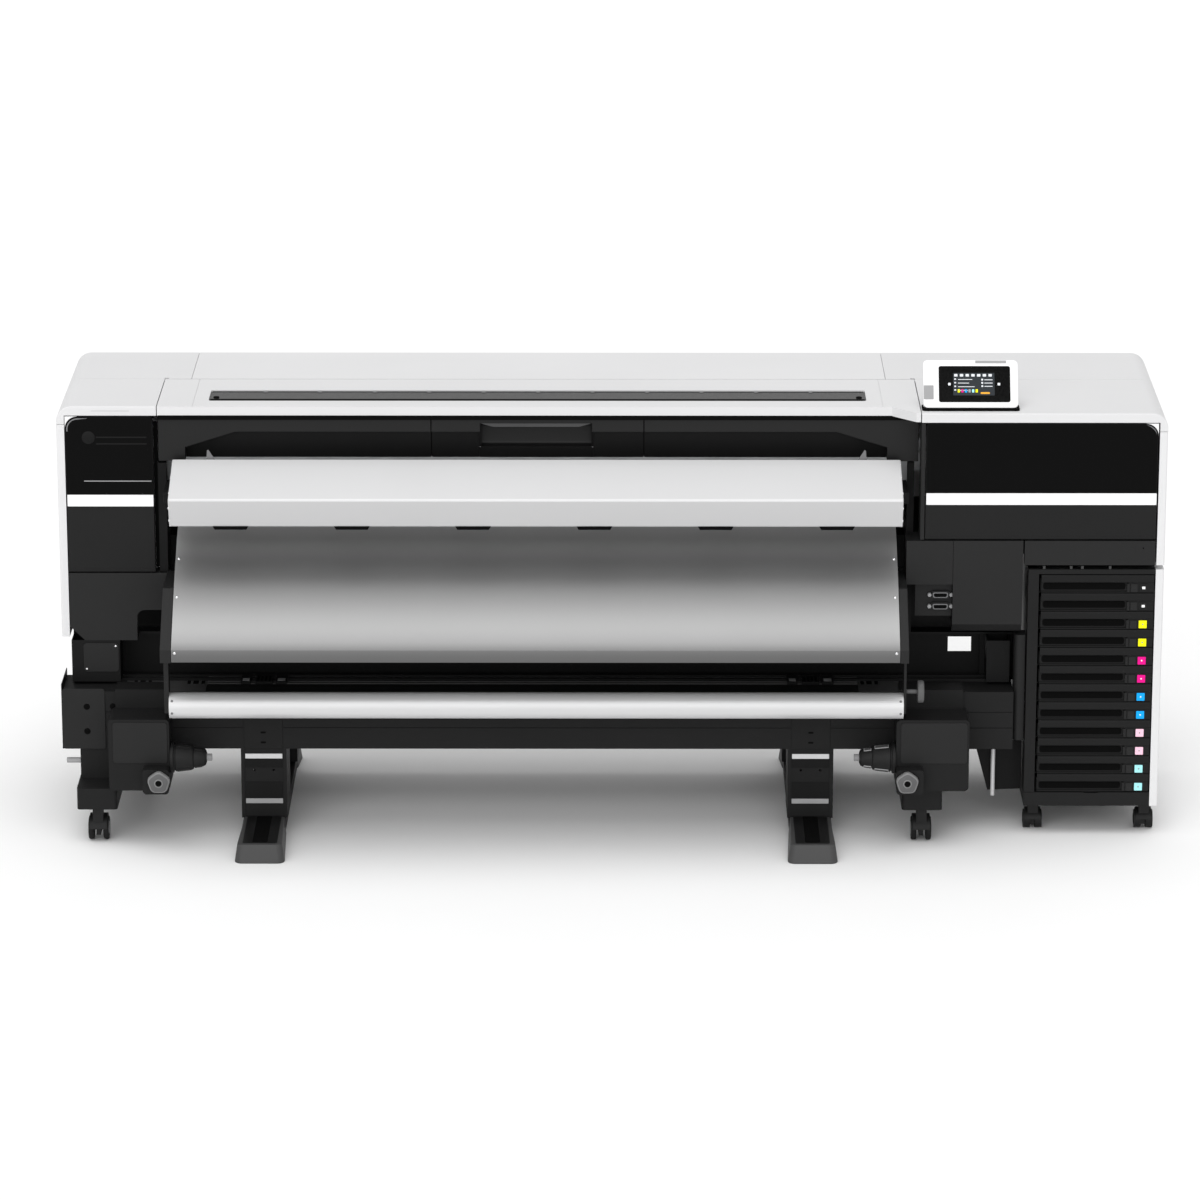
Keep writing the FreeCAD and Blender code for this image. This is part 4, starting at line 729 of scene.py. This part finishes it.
# ---- front cover: viewing slot
def slot_details():
    """Black lower edge, clips along the far edge and end studs of the viewing slot."""
    slot = Span("front_cover_window")
    x0, x1, y0, y1, z = slot.x0 + 8, slot.x1 - 8, slot.y0 + 8, slot.y1 - 8, slot.z1
    box("slot_edge", (x0 + 4, x1 - 4), (y0 + 0.4, y0 + 19), (z - 1, z + 4.3), "hole_black", *COVER_DARK, 0.5)
    box("slot_far_edge", (x0 + 4, x1 - 4), (y1 - 4, y1 - 0.4), (z - 1, z + 1), "fascia_black", *COVER_DARK,
        0.5)
    clip_mids = [x0 + 147 + 146.5 * i for i in range(11)]
    boxes("slot_clips", [((x - 5, x + 5), (y1 - 9, y1 - 2), (z - 0.5, z + 3.4)) for x in clip_mids],
          "detail_grey", "front_cover", "cover_white", 0.6)
    for side, x in sides(x0 + 18, x1 - 18):
        lathe("slot_stud_" + side, disc(8, -1, 2.6, 1), (x, (y0 + y1) / 2 - 8, z), "z", 24,
              "hole_black", *COVER_DARK)


slot_details()


# ---- drying hood
hood = Span("drying_unit")
HOOD_X = (hood.x0 + 20, hood.x1 - 20)
HOOD_LINE = [(hood.y1 - 56, hood.z1 - 29.5), (hood.y1 - 61, hood.z1), (hood.y0, hood.z1 - 64.5),
             (hood.y0 + 33, hood.z0 + 8), (hood.y0 + 143, hood.z0 + 1)]
HOOD_END = 2.5


def hood_shell():
    """White skin in three runs that meet at the front fold, and its end plates; the fold takes a lighter
    white as a painted highlight and the front run a darker white as painted shade.
    """
    line = round_line(HOOD_LINE, (4, 5, 5), 8)
    fold = [i for i, point in enumerate(line) if abs(point[0] - hood.y0) < 6]
    # painted highlight: lighter white on the fold; painted shade: darker white on the front run
    runs = (("hood_top", line[:fold[0] + 1], "hood_white"),
            ("hood_fold_highlight", line[fold[0]:fold[-1] + 1], "cover_white"),
            ("hood_front_shade", line[fold[-1]:], "hood_shade"))
    for name, run, material in runs:
        ribbon(name, run, 2, HOOD_X[0] + HOOD_END, HOOD_X[1] - HOOD_END, material, *HOOD, 0, DRYER)
    inner = [(y + 1.2, z - 1) for y, z in line]
    for side, x in sides(HOOD_X[0], HOOD_X[1] - HOOD_END):
        prism("hood_end_" + side, inner, "x", x, x + HOOD_END, "hood_white", *HOOD, 0.5, DRYER)


def hood_fittings():
    """Screws in the ends, black outlet tabs, dark arms and a small fin near each end of the back edge."""
    spots = []
    for start, shares in ((1, (0.1, 0.42, 0.8)), (2, (0.25, 0.72))):
        (y0, z0), (y1, z1) = HOOD_LINE[start:start + 2]
        spots += [(y0 + (y1 - y0) * share + 9, z0 + (z1 - z0) * share - 7) for share in shares]
    for side, x, height in (("left", HOOD_X[0], -2.2), ("right", HOOD_X[1], 2.2)):
        screws("hood_screws_" + side, [(x, y, z) for y, z in spots], "x", 4.2, height, "bright_steel", *HOOD)
    width, top = 94, hood.z0 + 8.5
    tabs = []
    for i in range(6):
        x = HOOD_X[0] + 115 + 321 * i
        tabs.append([(x, top), (x + 5, hood.z0), (x + width - 5, hood.z0), (x + width, top)])
    prisms("hood_tabs", tabs, "y", hood.y0 + 30, hood.y0 + 54, "hole_black", "printer",
           "fascia_black", 0.6, DRYER)
    for side, x in sides((hood.x0, HOOD_X[0]), (HOOD_X[1], hood.x1)):
        box("hood_arm_" + side, x, (hood.y1 - 136, hood.y1), (hood.z1 - 103.5, hood.z1 - 73.5),
            "chassis_steel", *CHASSIS, 1.5, DRYER)
    for side, x, sign in (("left", HOOD_X[0] + 96, 1), ("right", HOOD_X[1] - 96, -1)):
        fin = [(x - 4 * sign, hood.z1 + 22), (x, hood.z1 + 24), (x + 20 * sign, hood.z1 - 8),
               (x - 6 * sign, hood.z1 - 8)]
        prism("hood_fin_" + side, fin, "y", hood.y1 - 58, hood.y1 - 54, "rim_grey", *CHASSIS, 0.5)


hood_shell()
hood_fittings()


# ---- heated guide
heater = Span("heater_panel")
HEATER_LOW = heater.z0 + 172
HEATER_X = (heater.x0 + 30, heater.x1 - 24)
HEATER_CURVE = [(heater.y0 + y, HEATER_LOW + z) for y, z in (
    (0, 36), (16, 54), (66, 101), (137, 167), (182, 202), (227, 233), (274, 265), (322, 291))]


def heated_guide():
    """Satin metal sheet on a smooth curve, its end brackets, stays and ribs."""
    y, z = heater.y0, HEATER_LOW
    # the sheet's material carries painted shade and painted reflection by height
    ribbon("heater_sheet", [(y, z + 2.5)] + smooth_line(HEATER_CURVE, 8), -2, *HEATER_X,
           "sheet_metal", "printer", "sheet_metal", 0, GUIDE)
    side = [(y, z), (y, z + 36), (y + 137, z + 167), (y + 308, z + 167), (y + 308, z + 48), (y + 146, z)]
    for name, x0, x1 in (("left", heater.x0, HEATER_X[0] - 1), ("right", HEATER_X[1] + 1, heater.x1)):
        prism("heater_bracket_" + name, side, "x", x0, x1, "cover_charcoal", *FRAME, 1.5, GUIDE)
    for name, x in sides((heater.x0, heater.x0 + 13), (heater.x1 - 7, heater.x1)):
        box("heater_stay_" + name, x, (y + 106, y + 150), (heater.z0, z), "cover_charcoal", *FRAME, 1, GUIDE)
    for name, x in sides(HEATER_X[0] + 300, HEATER_X[1] - 300):
        box("heater_rib_" + name, (x, x + 3), (y + 310, heater.y1), (z + 163, z + 238),
            "chassis_steel", *CHASSIS, 0.5, GUIDE)


def heater_screws():
    """Domed screws along both ends of the sheet, each square to the slope there."""
    bm = bmesh.new()
    for x in (HEATER_X[0] + 9, HEATER_X[1] - 9):
        for along, up, lean in ((216, 226, 54), (116, 148, 47), (0, 28, 90)):
            screw = bmesh.new()
            add_screw(screw, (0, 0, 0), "z", 4, 2.2)
            place = Matrix.Translation((x, heater.y0 + along, HEATER_LOW + up))
            add_turned(bm, screw, place @ Matrix.Rotation(math.radians(lean), 4, "X"))
    piece("heater_screws", bm, "bright_steel", *STEEL)


heated_guide()
heater_screws()


# ---- guide tube
def tube_details():
    """Set screws near both ends of the tube."""
    guide = Span("guide_tube")
    bm = bmesh.new()
    for x in (guide.x0 + 8, guide.x1 - 8):
        for angle in (35, -22):
            turn = math.radians(angle)
            centre = (x, guide.ym - 34.6 * math.cos(turn), guide.zm + 34.6 * math.sin(turn))
            add_lathe(bm, disc(3.4, -2, 1.2, 0.5), centre, "y", 16)
    piece("tube_screws", bm, "rim_grey", *STEEL)


tube_details()


# ---- stand beam
beam = Span("stand_beam")
BEAM_SHELF = beam.z1 - 20


def beam_details():
    """Front plate with bolt holes, then plates with punched slots and ribs on the beam; holes and slots are
    black marks as painted shade, and the top plates and ribs take a lighter grey as painted light on the
    beam's shaded top.
    """
    front, top = beam.y0, BEAM_SHELF
    plate_y("beam_plate", (beam.x0 + 2, beam.x0 + 117), (beam.z0, beam.z1 - 12), (front - 3, front + 0.5),
            7, "cover_charcoal", *FRAME, 1)
    bm = bmesh.new()
    # bolt holes drawn as black discs: painted shade
    for x, z, start in ((68, 62, -4.4), (68, 131, -4.4), (138, 62, -1.4)):
        add_lathe(bm, disc(8.5, start, start + 1.8, 0.6), (beam.x0 + x, front, beam.z1 - z), "y", 24)
    piece("beam_holes", bm, "hole_black", *FRAME)
    # top plates in a lighter grey: painted light on the shaded top of the beam
    for name, x0, x1 in (("left", 170, 388), ("right", 2144, 2256)):
        plate_z("beam_top_plate_" + name, (beam.x0 + x0, beam.x0 + x1), (front + 1, front + 150),
                (top, top + 1.2), 3, "foot_grey", *FRAME, 0.3)
    # slots drawn as black bars: painted shade
    slots = []
    for x in (beam.x0 + 190, beam.x0 + 334, beam.x0 + 2152):
        for dx, width in ((0, 9), (16, 14), (38, 9)):
            slots.append(((x + dx, x + dx + width), (front + 66, front + 120), (top + 0.6, top + 1.35)))
    boxes("beam_slots", slots, "hole_black", *FRAME)
    # ribs in a lighter grey: painted highlight lines
    rib_x = (beam.x0 + 388, beam.x0 + 2144)
    ribs = [(rib_x, (front + y0, front + y1), (top, top + high))
            for y0, y1, high in ((66, 70, 4), (84, 88, 4), (126, 150, 3))]
    boxes("beam_ribs", ribs, "foot_grey", *FRAME, 0.8)


def leg_details(name, x):
    """Clamp on the beam over one leg, and the plate, bars and dark bands on the leg's front; the dark bands
    are painted shade where recesses would be, and the clamp's slots and the plate's holes are black marks as
    painted shade.
    """
    front, top = beam.y0, BEAM_SHELF

    def across(spans, y, z):
        return [((x + a, x + b), (front + y[0], front + y[1]), z) for a, b in spans]

    blocks = across(((-63, -35), (-24, 24), (31, 62)), (63, 124), (top, top + 9))
    boxes("leg_clamp_" + name, blocks, "frame_charcoal", *FRAME, 1.5)
    # slots drawn as black bars: painted shade
    cuts = across([(10.5 * k - 19, 10.5 * k - 14) for k in range(4)], (68, 110), (top + 8, top + 9.6))
    boxes("leg_clamp_slots_" + name, cuts, "hole_black", *FRAME)
    tags = across(((-58, -40), (36, 57)), (70, 92), (top + 8, top + 9.8))
    boxes("leg_clamp_tags_" + name, tags, "detail_grey", *STEEL, 0.5)
    plate_y("leg_top_plate_" + name, (x - 52, x + 52), (beam.z0 + 0.5, beam.z0 + 92),
            (front - 2, front + 0.5), 3, "frame_charcoal", *FRAME, 0.8)
    for level, material, z in (("upper", "tube_silver", 214), ("lower", "detail_grey", 87)):
        boxes("leg_brace_" + level + "_" + name, across([(-50, 50)], (1.6, 3.4), (z - 1, z + 12.5)),
              material, *STEEL, 0.4)
    # dark bands: painted shade standing in for recesses
    recess = [across([(-50, 50)], (2, 3.4), z)[0] for z in ((101, 147), (187, 212))]
    boxes("leg_recess_" + name, recess, "chassis_steel", *FRAME, 0.4)
    # holes drawn as black plates: painted shade
    holes = [rounded(rectangle(x - 7, x + 7, z, z + 5), 2.2, 4) for z in (beam.z0 + 16, beam.z0 + 44)]
    prisms("leg_top_holes_" + name, holes, "y", front - 2.8, front - 1.6, "hole_black", *FRAME)


beam_details()
leg_details("left", beam.x0 + 541.5)
leg_details("right", beam.x0 + 2016.5)


# ---- feet
feet = Span("stand_feet")
FOOT_TOP = 50


def boot(name, x_mid, side):
    """Moulded boot: tapered block with a rounded toe, and the dark channel along its top."""
    tip, heel = (feet.y1, feet.y1 - 109) if side > 0 else (feet.y0, feet.y0 + 249)
    inward = -side
    bm = bmesh.new()

    def layer(y, toe, back, radius, z):
        corners = [(x_mid - toe, y), (x_mid + toe, y), (x_mid + back, heel), (x_mid - back, heel)]
        outline = rounded(corners[::inward], [radius, radius, 3, 3][::inward], 6)
        return [bm.verts.new((x, y, z)) for x, y in outline]

    add_skin(bm, layer(tip, 68, 58, 20, 0), layer(tip + inward * 11, 60, 54, 18, FOOT_TOP))
    shell = piece(name, bm, "foot_grey", *FOOT, 4, ("stand_feet",))
    shell.modifiers["edge_rounding"].segments = 3
    for part, start, half, height, radius, material in (("_channel", 24, 46, 0.4, 6, "fascia_black"),
                                                        ("_slot", 32, 20, 0.9, 4, "hole_black")):
        plate_z(name + part, (x_mid - half, x_mid + half), sorted((tip + inward * start, heel)),
                (FOOT_TOP - 1, FOOT_TOP + height), radius, material, *FOOT, 0.3)


for foot_side, foot_mid in sides(feet.x0 + 68, feet.x1 - 68):
    boot("boot_front_" + foot_side, foot_mid, -1)
    boot("boot_rear_" + foot_side, foot_mid, 1)


# ---- casters
WHEEL_WIDTH = 15


def caster_wheels(quarter):
    """Twin wheels with rounded treads and hub caps, and the brake tab of one stand caster."""
    pair, fork = Span("caster_wheels_" + quarter), Span("caster_fork_" + quarter)
    wheels = "wheels_" + quarter
    radius = (pair.z1 - pair.z0) / 2
    centre = (0, pair.ym, pair.zm)
    tread = ((11, 1.8), (9, 0.4), (3, 0.4), (0.8, 2.2), (0, 4.6))
    bm = bmesh.new()
    for x0, x1 in ((pair.x0, pair.x0 + WHEEL_WIDTH), (pair.x1 - WHEEL_WIDTH, pair.x1)):
        profile = [(radius - drop, x0 + inset) for drop, inset in tread]
        profile += [(radius - drop, x1 - inset) for drop, inset in tread[::-1]]
        add_lathe(bm, profile, centre, "x", 40)
    piece("wheels_visual_" + quarter, bm, "caster_tread", wheels, "caster_tread", 0,
          ("caster_wheels_" + quarter,))
    bm = bmesh.new()
    for x0, x1 in ((pair.x0 + 0.2, pair.x0 + 2.4), (pair.x1 - 2.4, pair.x1 - 0.2)):
        add_lathe(bm, disc(radius - 15, x0, x1, 0.8), centre, "x", 24)
    add_lathe(bm, disc(5, pair.x0 + 2, pair.x1 - 2, 0.5), centre, "x", 20)
    piece("wheel_hubs_" + quarter, bm, "rim_grey", wheels, "caster_body")
    tab = [(pair.ym + y, pair.z1 - z) for y, z in ((8, 6), (26, 14), (40, 18), (40, 22), (24, 19), (8, 12))]
    prism("brake_tab_" + quarter, tab, "x", fork.xm - 9, fork.xm + 9, "caster_body",
          "caster_" + quarter, "caster_body", 1.2)


for caster_quarter in ("front_left", "front_right", "rear_left", "rear_right"):
    caster_wheels(caster_quarter)


# ---- take-up unit
KNOB_AXIS_Z = 200
KNOB_LOBES, KNOB_SWELL = 5, 1.3


def clamp_knob(side):
    """Five-lobed knob with a rounded rim, a darker face and a ringed bore; the bore is a black disc as
    painted shade.
    """
    node = Span("knob_" + side)
    body = "clamp_knob_" + side
    centre = (node.xm, node.y0, KNOB_AXIS_Z)
    rim = [(23, 0.4), (25.6, 1), (27.8, 2.8), (28.9, 5.2), (29.1, 8), (29.1, 15), (28, 17.2), (25, 18)]
    bm = bmesh.new()
    add_lathe(bm, rim, centre, "y", 90, KNOB_LOBES, KNOB_SWELL)
    add_lathe(bm, disc(6, 17, node.y1 - node.y0, 0.8), centre, "y", 24)
    piece("knob_" + side + "_lobes", bm, "knob_edge", body, "knob_grey", 0, ("knob_" + side,))
    bm = bmesh.new()
    add_lathe(bm, [(24.6, 0.8), (24.6, 0.2), (24.2, 0)], centre, "y", 90, KNOB_LOBES, KNOB_SWELL)
    piece("knob_face_" + side, bm, "knob_grey", body, "knob_grey")
    lathe("knob_ring_" + side, disc(11.6, -0.7, 1.4, 0.6), centre, "y", 40, "knob_edge", body, "knob_grey")
    # bore drawn as a black disc: painted shade
    lathe("knob_bore_" + side, disc(8.6, -0.9, 1.4, 0.3), centre, "y", 32, "hole_black", body, "knob_grey")


def takeup_details(side, sign):
    """Cover plate of one gear case, its core holder with cone, threaded tip and latches, and its knob."""
    case, holder = Span("takeup_" + side), Span("core_holder_" + side)
    front = case.y0 + 42
    plate_y("takeup_cover_" + side, (case.x0 + 12, case.x1 - 5), (case.z0 + 78, case.z1 - 60),
            (front - 2.5, front + 0.5), 9, "cover_charcoal", "takeup_unit_" + side, "frame_charcoal", 1.2)
    face = case.x1 if sign > 0 else case.x0
    centre = (0, holder.ym, holder.zm)
    core, stands_for = "takeup_core_" + side, ("core_holder_" + side,)

    def from_face(profile):
        return [(radius, face + sign * along) for radius, along in profile]

    cone = [(41, 0.6), (42.6, 2.5), (42.6, 8.5), (41, 10.5), (36, 11), (36, 14), (38.6, 16),
            (34, 58), (32, 62), (28, 64), (25, 88), (21, 95), (13.5, 98)]
    lathe("core_cone_" + side, from_face(cone), centre, "x", 48, "caster_body", core, "caster_body",
          stands_for)
    thread = [(8.5, 96)]
    for k in range(5):
        thread += [(10.2, 98 + 2.8 * k), (8.8, 99.4 + 2.8 * k)]
    thread += [(9.8, 111.2), (8, 111.8)]
    lathe("core_tip_" + side, from_face(thread), centre, "x", 32, "detail_grey", core, "roller_steel",
          stands_for)
    edge, top = ("caster_body", "caster_body") if sign > 0 else ("detail_grey", "foot_grey")
    for name, trim, material in (("core_latches_", 0, edge), ("core_latch_faces_", 1.3, top)):
        bm = bmesh.new()
        for k in range(3):
            latches = bmesh.new()
            for a, b, base, low, high, half in ((20, 57, 30, 35.6, 40, 6), (66, 86, 22, 27, 29.6, 5.2)):
                outline = from_face([(base, a + trim), (high + trim * 0.5, a + trim),
                                     (low + trim * 0.5, b - trim), (base, b - trim)])
                add_prism(latches, [(x, z) for z, x in outline], "y", trim - half, half - trim)
            turn = Matrix.Rotation(math.radians(120 * k + 20), 4, "X")
            add_turned(bm, latches, Matrix.Translation(centre) @ turn)
        piece(name + side, bm, material, core, "caster_body", 0.5, stands_for)
    clamp_knob(side)


takeup_details("left", 1)
takeup_details("right", -1)


# ---- rods, link plate, sockets and small fittings
cabinet, lower_right = Span("ink_cabinet"), Span("right_lower_cover")


def side_fittings():
    """Silver stub at the left, and the rod, link plate and column between stand and cabinet."""
    lathe("silver_stub", disc(7.5, beam.x0 + 9, beam.x0 + 96, 1.2),
          (0, beam.y0 + 15, beam.z0 - 37), "x", 28, "detail_grey", "printer", "tube_silver")
    lathe("silver_rod", disc(6, 90, beam.z0, 1), (beam.x1 - 47, -150, 0), "z", 24,
          "tube_silver", "printer", "tube_silver")
    plate = [(beam.x1 - 98, beam.z0), (cabinet.x0 - 2, beam.z0), (cabinet.x0 - 2, 104), (beam.x1 - 60, 100)]
    prism("link_plate", plate, "y", -136, -132, "chassis_steel", *CHASSIS, 1)
    column = rounded(rectangle(cabinet.x0 - 32, cabinet.x0 - 2, -200, -150), [14, 3, 3, 3], 6)
    prism("link_column", column, "z", beam.z0 + 20, 558, "cover_charcoal", *FRAME, 1)
    clip_y = lower_right.y0 + 6
    clips = [((x, x + 7), (clip_y, clip_y + 10), (cabinet.z1, cabinet.z1 + 9))
             for x in (cabinet.x0 + 38, cabinet.x0 + 110, cabinet.x0 + 140, cabinet.x0 + 214)]
    boxes("cabinet_clips", clips, "foot_grey", *CHASSIS, 0.8)


def lower_fittings():
    """Guide adjusting wheel, plates behind the column and the door's gap, and the box at the left post; the
    black plate behind the door's gap is painted shade.
    """
    centre = (0, heater.y0 + 128, heater.z0 + 56)
    start = heater.x1 + 30
    rim = [(24, start), (29, start + 1.5), (30, start + 4), (30, start + 14),
           (29, start + 16.5), (24, start + 18)]
    lathe("adjusting_wheel", rim, centre, "x", 40, "knob_grey", *STEEL)
    lathe("adjusting_shaft", disc(6, heater.x1, start + 1, 0.6), centre, "x", 24, "knob_grey", *STEEL)
    box("column_back", (cabinet.x0 - 116, cabinet.x0 - 1), (-68, -65), (beam.z1 - 30, 530),
        "chassis_steel", *CHASSIS, 0.5)
    # black plate behind the door's gap: painted shade
    box("door_gap_shade", (left_door.x1 + 0.5, left_door.x1 + 11.5), (-126, -123),
        (left_door.z0 + 10, left_door.z1 - 20), "hole_black", *CHASSIS, 0.3)
    plate_y("post_cover", (-1420, -1325), (beam.z1 + 16, 519), (-152.5, -149.5), 10,
            "cover_charcoal", *FRAME, 1.2)
    screws("post_screws", [(-1333, -152.5, 511), (-1412, -152.5, beam.z1 + 24)], "y", 3.2, -1.6,
           "bright_steel", *STEEL)


def connectors():
    """Metal shells, black inserts and hexagonal posts of the two sockets beside the heated guide."""
    front = lower_right.y0 + 14
    x0, x1 = lower_right.x0 + 69, lower_right.x0 + 117

    def trapezium(z, inset, high):
        return [(x0 + inset + 3, z - high), (x1 - inset - 3, z - high), (x1 - inset, z + high),
                (x0 + inset, z + high)]

    for i, z in enumerate((672, 640)):
        shell = rounded(trapezium(z, 2, 7.5), 5, 5)
        prism("socket_shell_%d" % i, shell, "y", front - 3, front + 1, "rim_grey", *STEEL, 0.6)
        insert = rounded(trapezium(z, 5, 5), 3.5, 5)
        prism("socket_insert_%d" % i, insert, "y", front - 3.6, front - 1, "hole_black", *RUBBER, 0.4)
        posts = [[(x + 5.5 * math.cos(math.pi * k / 3), z + 5.5 * math.sin(math.pi * k / 3))
                  for k in range(6)] for x in (x0 - 5, x1 + 5)]
        prisms("socket_posts_%d" % i, posts, "y", front - 2, front + 9, "detail_grey", *STEEL, 0.5)


side_fittings()
lower_fittings()
connectors()


# ---- trims on covers and panel
def cover_trims():
    """Groove on the left lip as painted shade, a painted highlight arc on the right door's corner, and a
    black plate under the control panel as its painted shadow.
    """
    left = Span("left_top_cover")
    # groove drawn as a darker strip: painted shade
    plate_y("left_lip_groove_shade", (left.x0 + 94, left.x0 + 196), (left.z1 - 13.5, left.z1 - 11),
            (left.y0 - 0.4, left.y0 + 1), 1, "detail_white", "printer", "cover_white", 0.2)
    # arc in lighter grey: painted highlight on the door's round corner
    radius, width, least = 29, 2.4, 0.2
    centre = (right_door.x1 - 4 - radius, right_door.z1 - 4 - radius)
    start, end = math.radians(8), math.radians(86)
    outer = arc_points(centre, radius, start, end, 12)
    inner = arc_points(centre, radius - least, start, end, 12, width)
    prism("right_door_rim_highlight", outer + inner[::-1], "y", right_door.y0 - 2.9, right_door.y0 - 2,
          "rim_grey", "right_door", "door_charcoal")
    # black plate under the control panel: painted shadow
    plate_z("panel_painted_shadow", (housing.x0 - 4, housing.x1 + 4), (housing.y0 - 11, housing.y0 + 40),
            (left.z1 + 0.1, left.z1 + 6), 9, "hole_black", "printer", "fascia_black", 1)


cover_trims()


# ---- back of the machine
def rear_details():
    """Screws round the back panels, and the mains inlet with its switch."""
    back = Span("rear_cover")
    y = back.y1
    centres = []
    for x0, x1, z0 in ((-1110, 720, 722), (-1430, -1160, 562), (772, 1430, 786)):
        gaps = max(1, round((x1 - x0) / 300))
        for i in range(gaps + 1):
            x = x0 + (x1 - x0) * i / gaps
            centres += [(x, y, z0), (x, y, back.z1 - 46)]
    screws("rear_screws", centres, "y", 4, 1.8, "detail_grey", *STEEL)
    plate_y("inlet_plate", (1344, 1432), (806, 862), (y - 0.5, y + 1.6), 6, "cover_charcoal", *FRAME, 0.6)
    plate_y("inlet_socket", (1386, 1424), (820, 850), (y + 1, y + 2.6), 5, "hole_black", *RUBBER, 0.5)
    plate_y("inlet_switch", (1353, 1375), (822, 848), (y + 1, y + 4.2), 2.5, "fascia_band", *RUBBER, 1.2)
    contacts = [((x - 1.2, x + 1.2), (y + 2, y + 3.6), (831, 839)) for x in (1395, 1405, 1415)]
    boxes("inlet_contacts", contacts, "bright_steel", *STEEL)


def cabinet_back():
    """Back plate of the ink cabinet, with its screws, and its vents drawn as black bars that paint the shade
    of their openings.
    """
    y = cabinet.y1
    x0, x1 = cabinet.x0 + 26, cabinet.x1 - 26
    z0, z1 = cabinet.z0 + 66, cabinet.z1 - 24
    plate_y("cabinet_back_plate", (x0, x1), (z0, z1), (y - 0.5, y + 1.6), 5, "cover_charcoal", *FRAME, 0.8)
    corners = [(x, y + 1.6, z) for x in (x0 + 9, x1 - 9) for z in (z0 + 9, z1 - 9)]
    screws("cabinet_back_screws", corners, "y", 3.6, 1.6, "detail_grey", *STEEL)
    # vents as black bars: painted shade
    vents = [rounded(rectangle(x0 + 60, x1 - 60, z, z + 6), 2.8, 4)
             for z in [z0 + 60 + 15 * i for i in range(10)]]
    prisms("cabinet_vent_shade", vents, "y", y + 0.8, y + 1.9, "hole_black", *FRAME)


rear_details()
cabinet_back()


# ---- stage, light and camera
FLOOR_HALF = 60


def build_stage():
    """Large pale floor."""
    bm = bmesh.new()
    bmesh.ops.create_grid(bm, x_segments=24, y_segments=24, size=FLOOR_HALF)
    mesh = bpy.data.meshes.new("floor")
    bm.to_mesh(mesh)
    bm.free()
    floor = bpy.data.objects.new("floor", mesh)
    bpy.context.scene.collection.objects.link(floor)
    mesh.materials.append(surface("floor_pale", (0.93, 0.93, 0.93), 0.9, 3, 0, 0.004, 0))


def sun_light(name, strength, spread, direction):
    """Broad even light that comes from a direction."""
    data = bpy.data.lights.new(name, "SUN")
    data.energy = strength
    data.angle = math.radians(spread)
    light = bpy.data.objects.new(name, data)
    light.rotation_euler = Vector(direction).to_track_quat("Z", "Y").to_euler()
    bpy.context.scene.collection.objects.link(light)


def build_lights():
    """Even white surroundings, an overhead key light and a low fill from the front."""
    world = bpy.data.worlds.new("studio_light")
    if world.node_tree is None:
        world.use_nodes = True
    world.node_tree.nodes["Background"].inputs["Color"].default_value = (1, 1, 1, 1)
    world.node_tree.nodes["Background"].inputs["Strength"].default_value = 0.54
    bpy.context.scene.world = world
    sun_light("key_light", 1.5, 60, (-0.06, -0.15, 1))
    sun_light("fill_light", 1.3, 60, (-0.15, -1, 0.32))


def build_camera():
    """Long lens, above and in front, nearly on the object's middle."""
    data = bpy.data.cameras.new("camera")
    data.sensor_width = 36
    data.lens = 165
    data.clip_end = 200
    camera = bpy.data.objects.new("camera", data)
    camera.location = (0.0037, -14.335, 4.785)
    aim = Vector((-0.0286, -0.15, 0.6406)) - camera.location
    camera.rotation_euler = aim.to_track_quat("-Z", "Y").to_euler()
    bpy.context.scene.collection.objects.link(camera)
    bpy.context.scene.camera = camera


build_stage()
build_lights()
build_camera()
bpy.context.scene.view_settings.view_transform = "Standard"
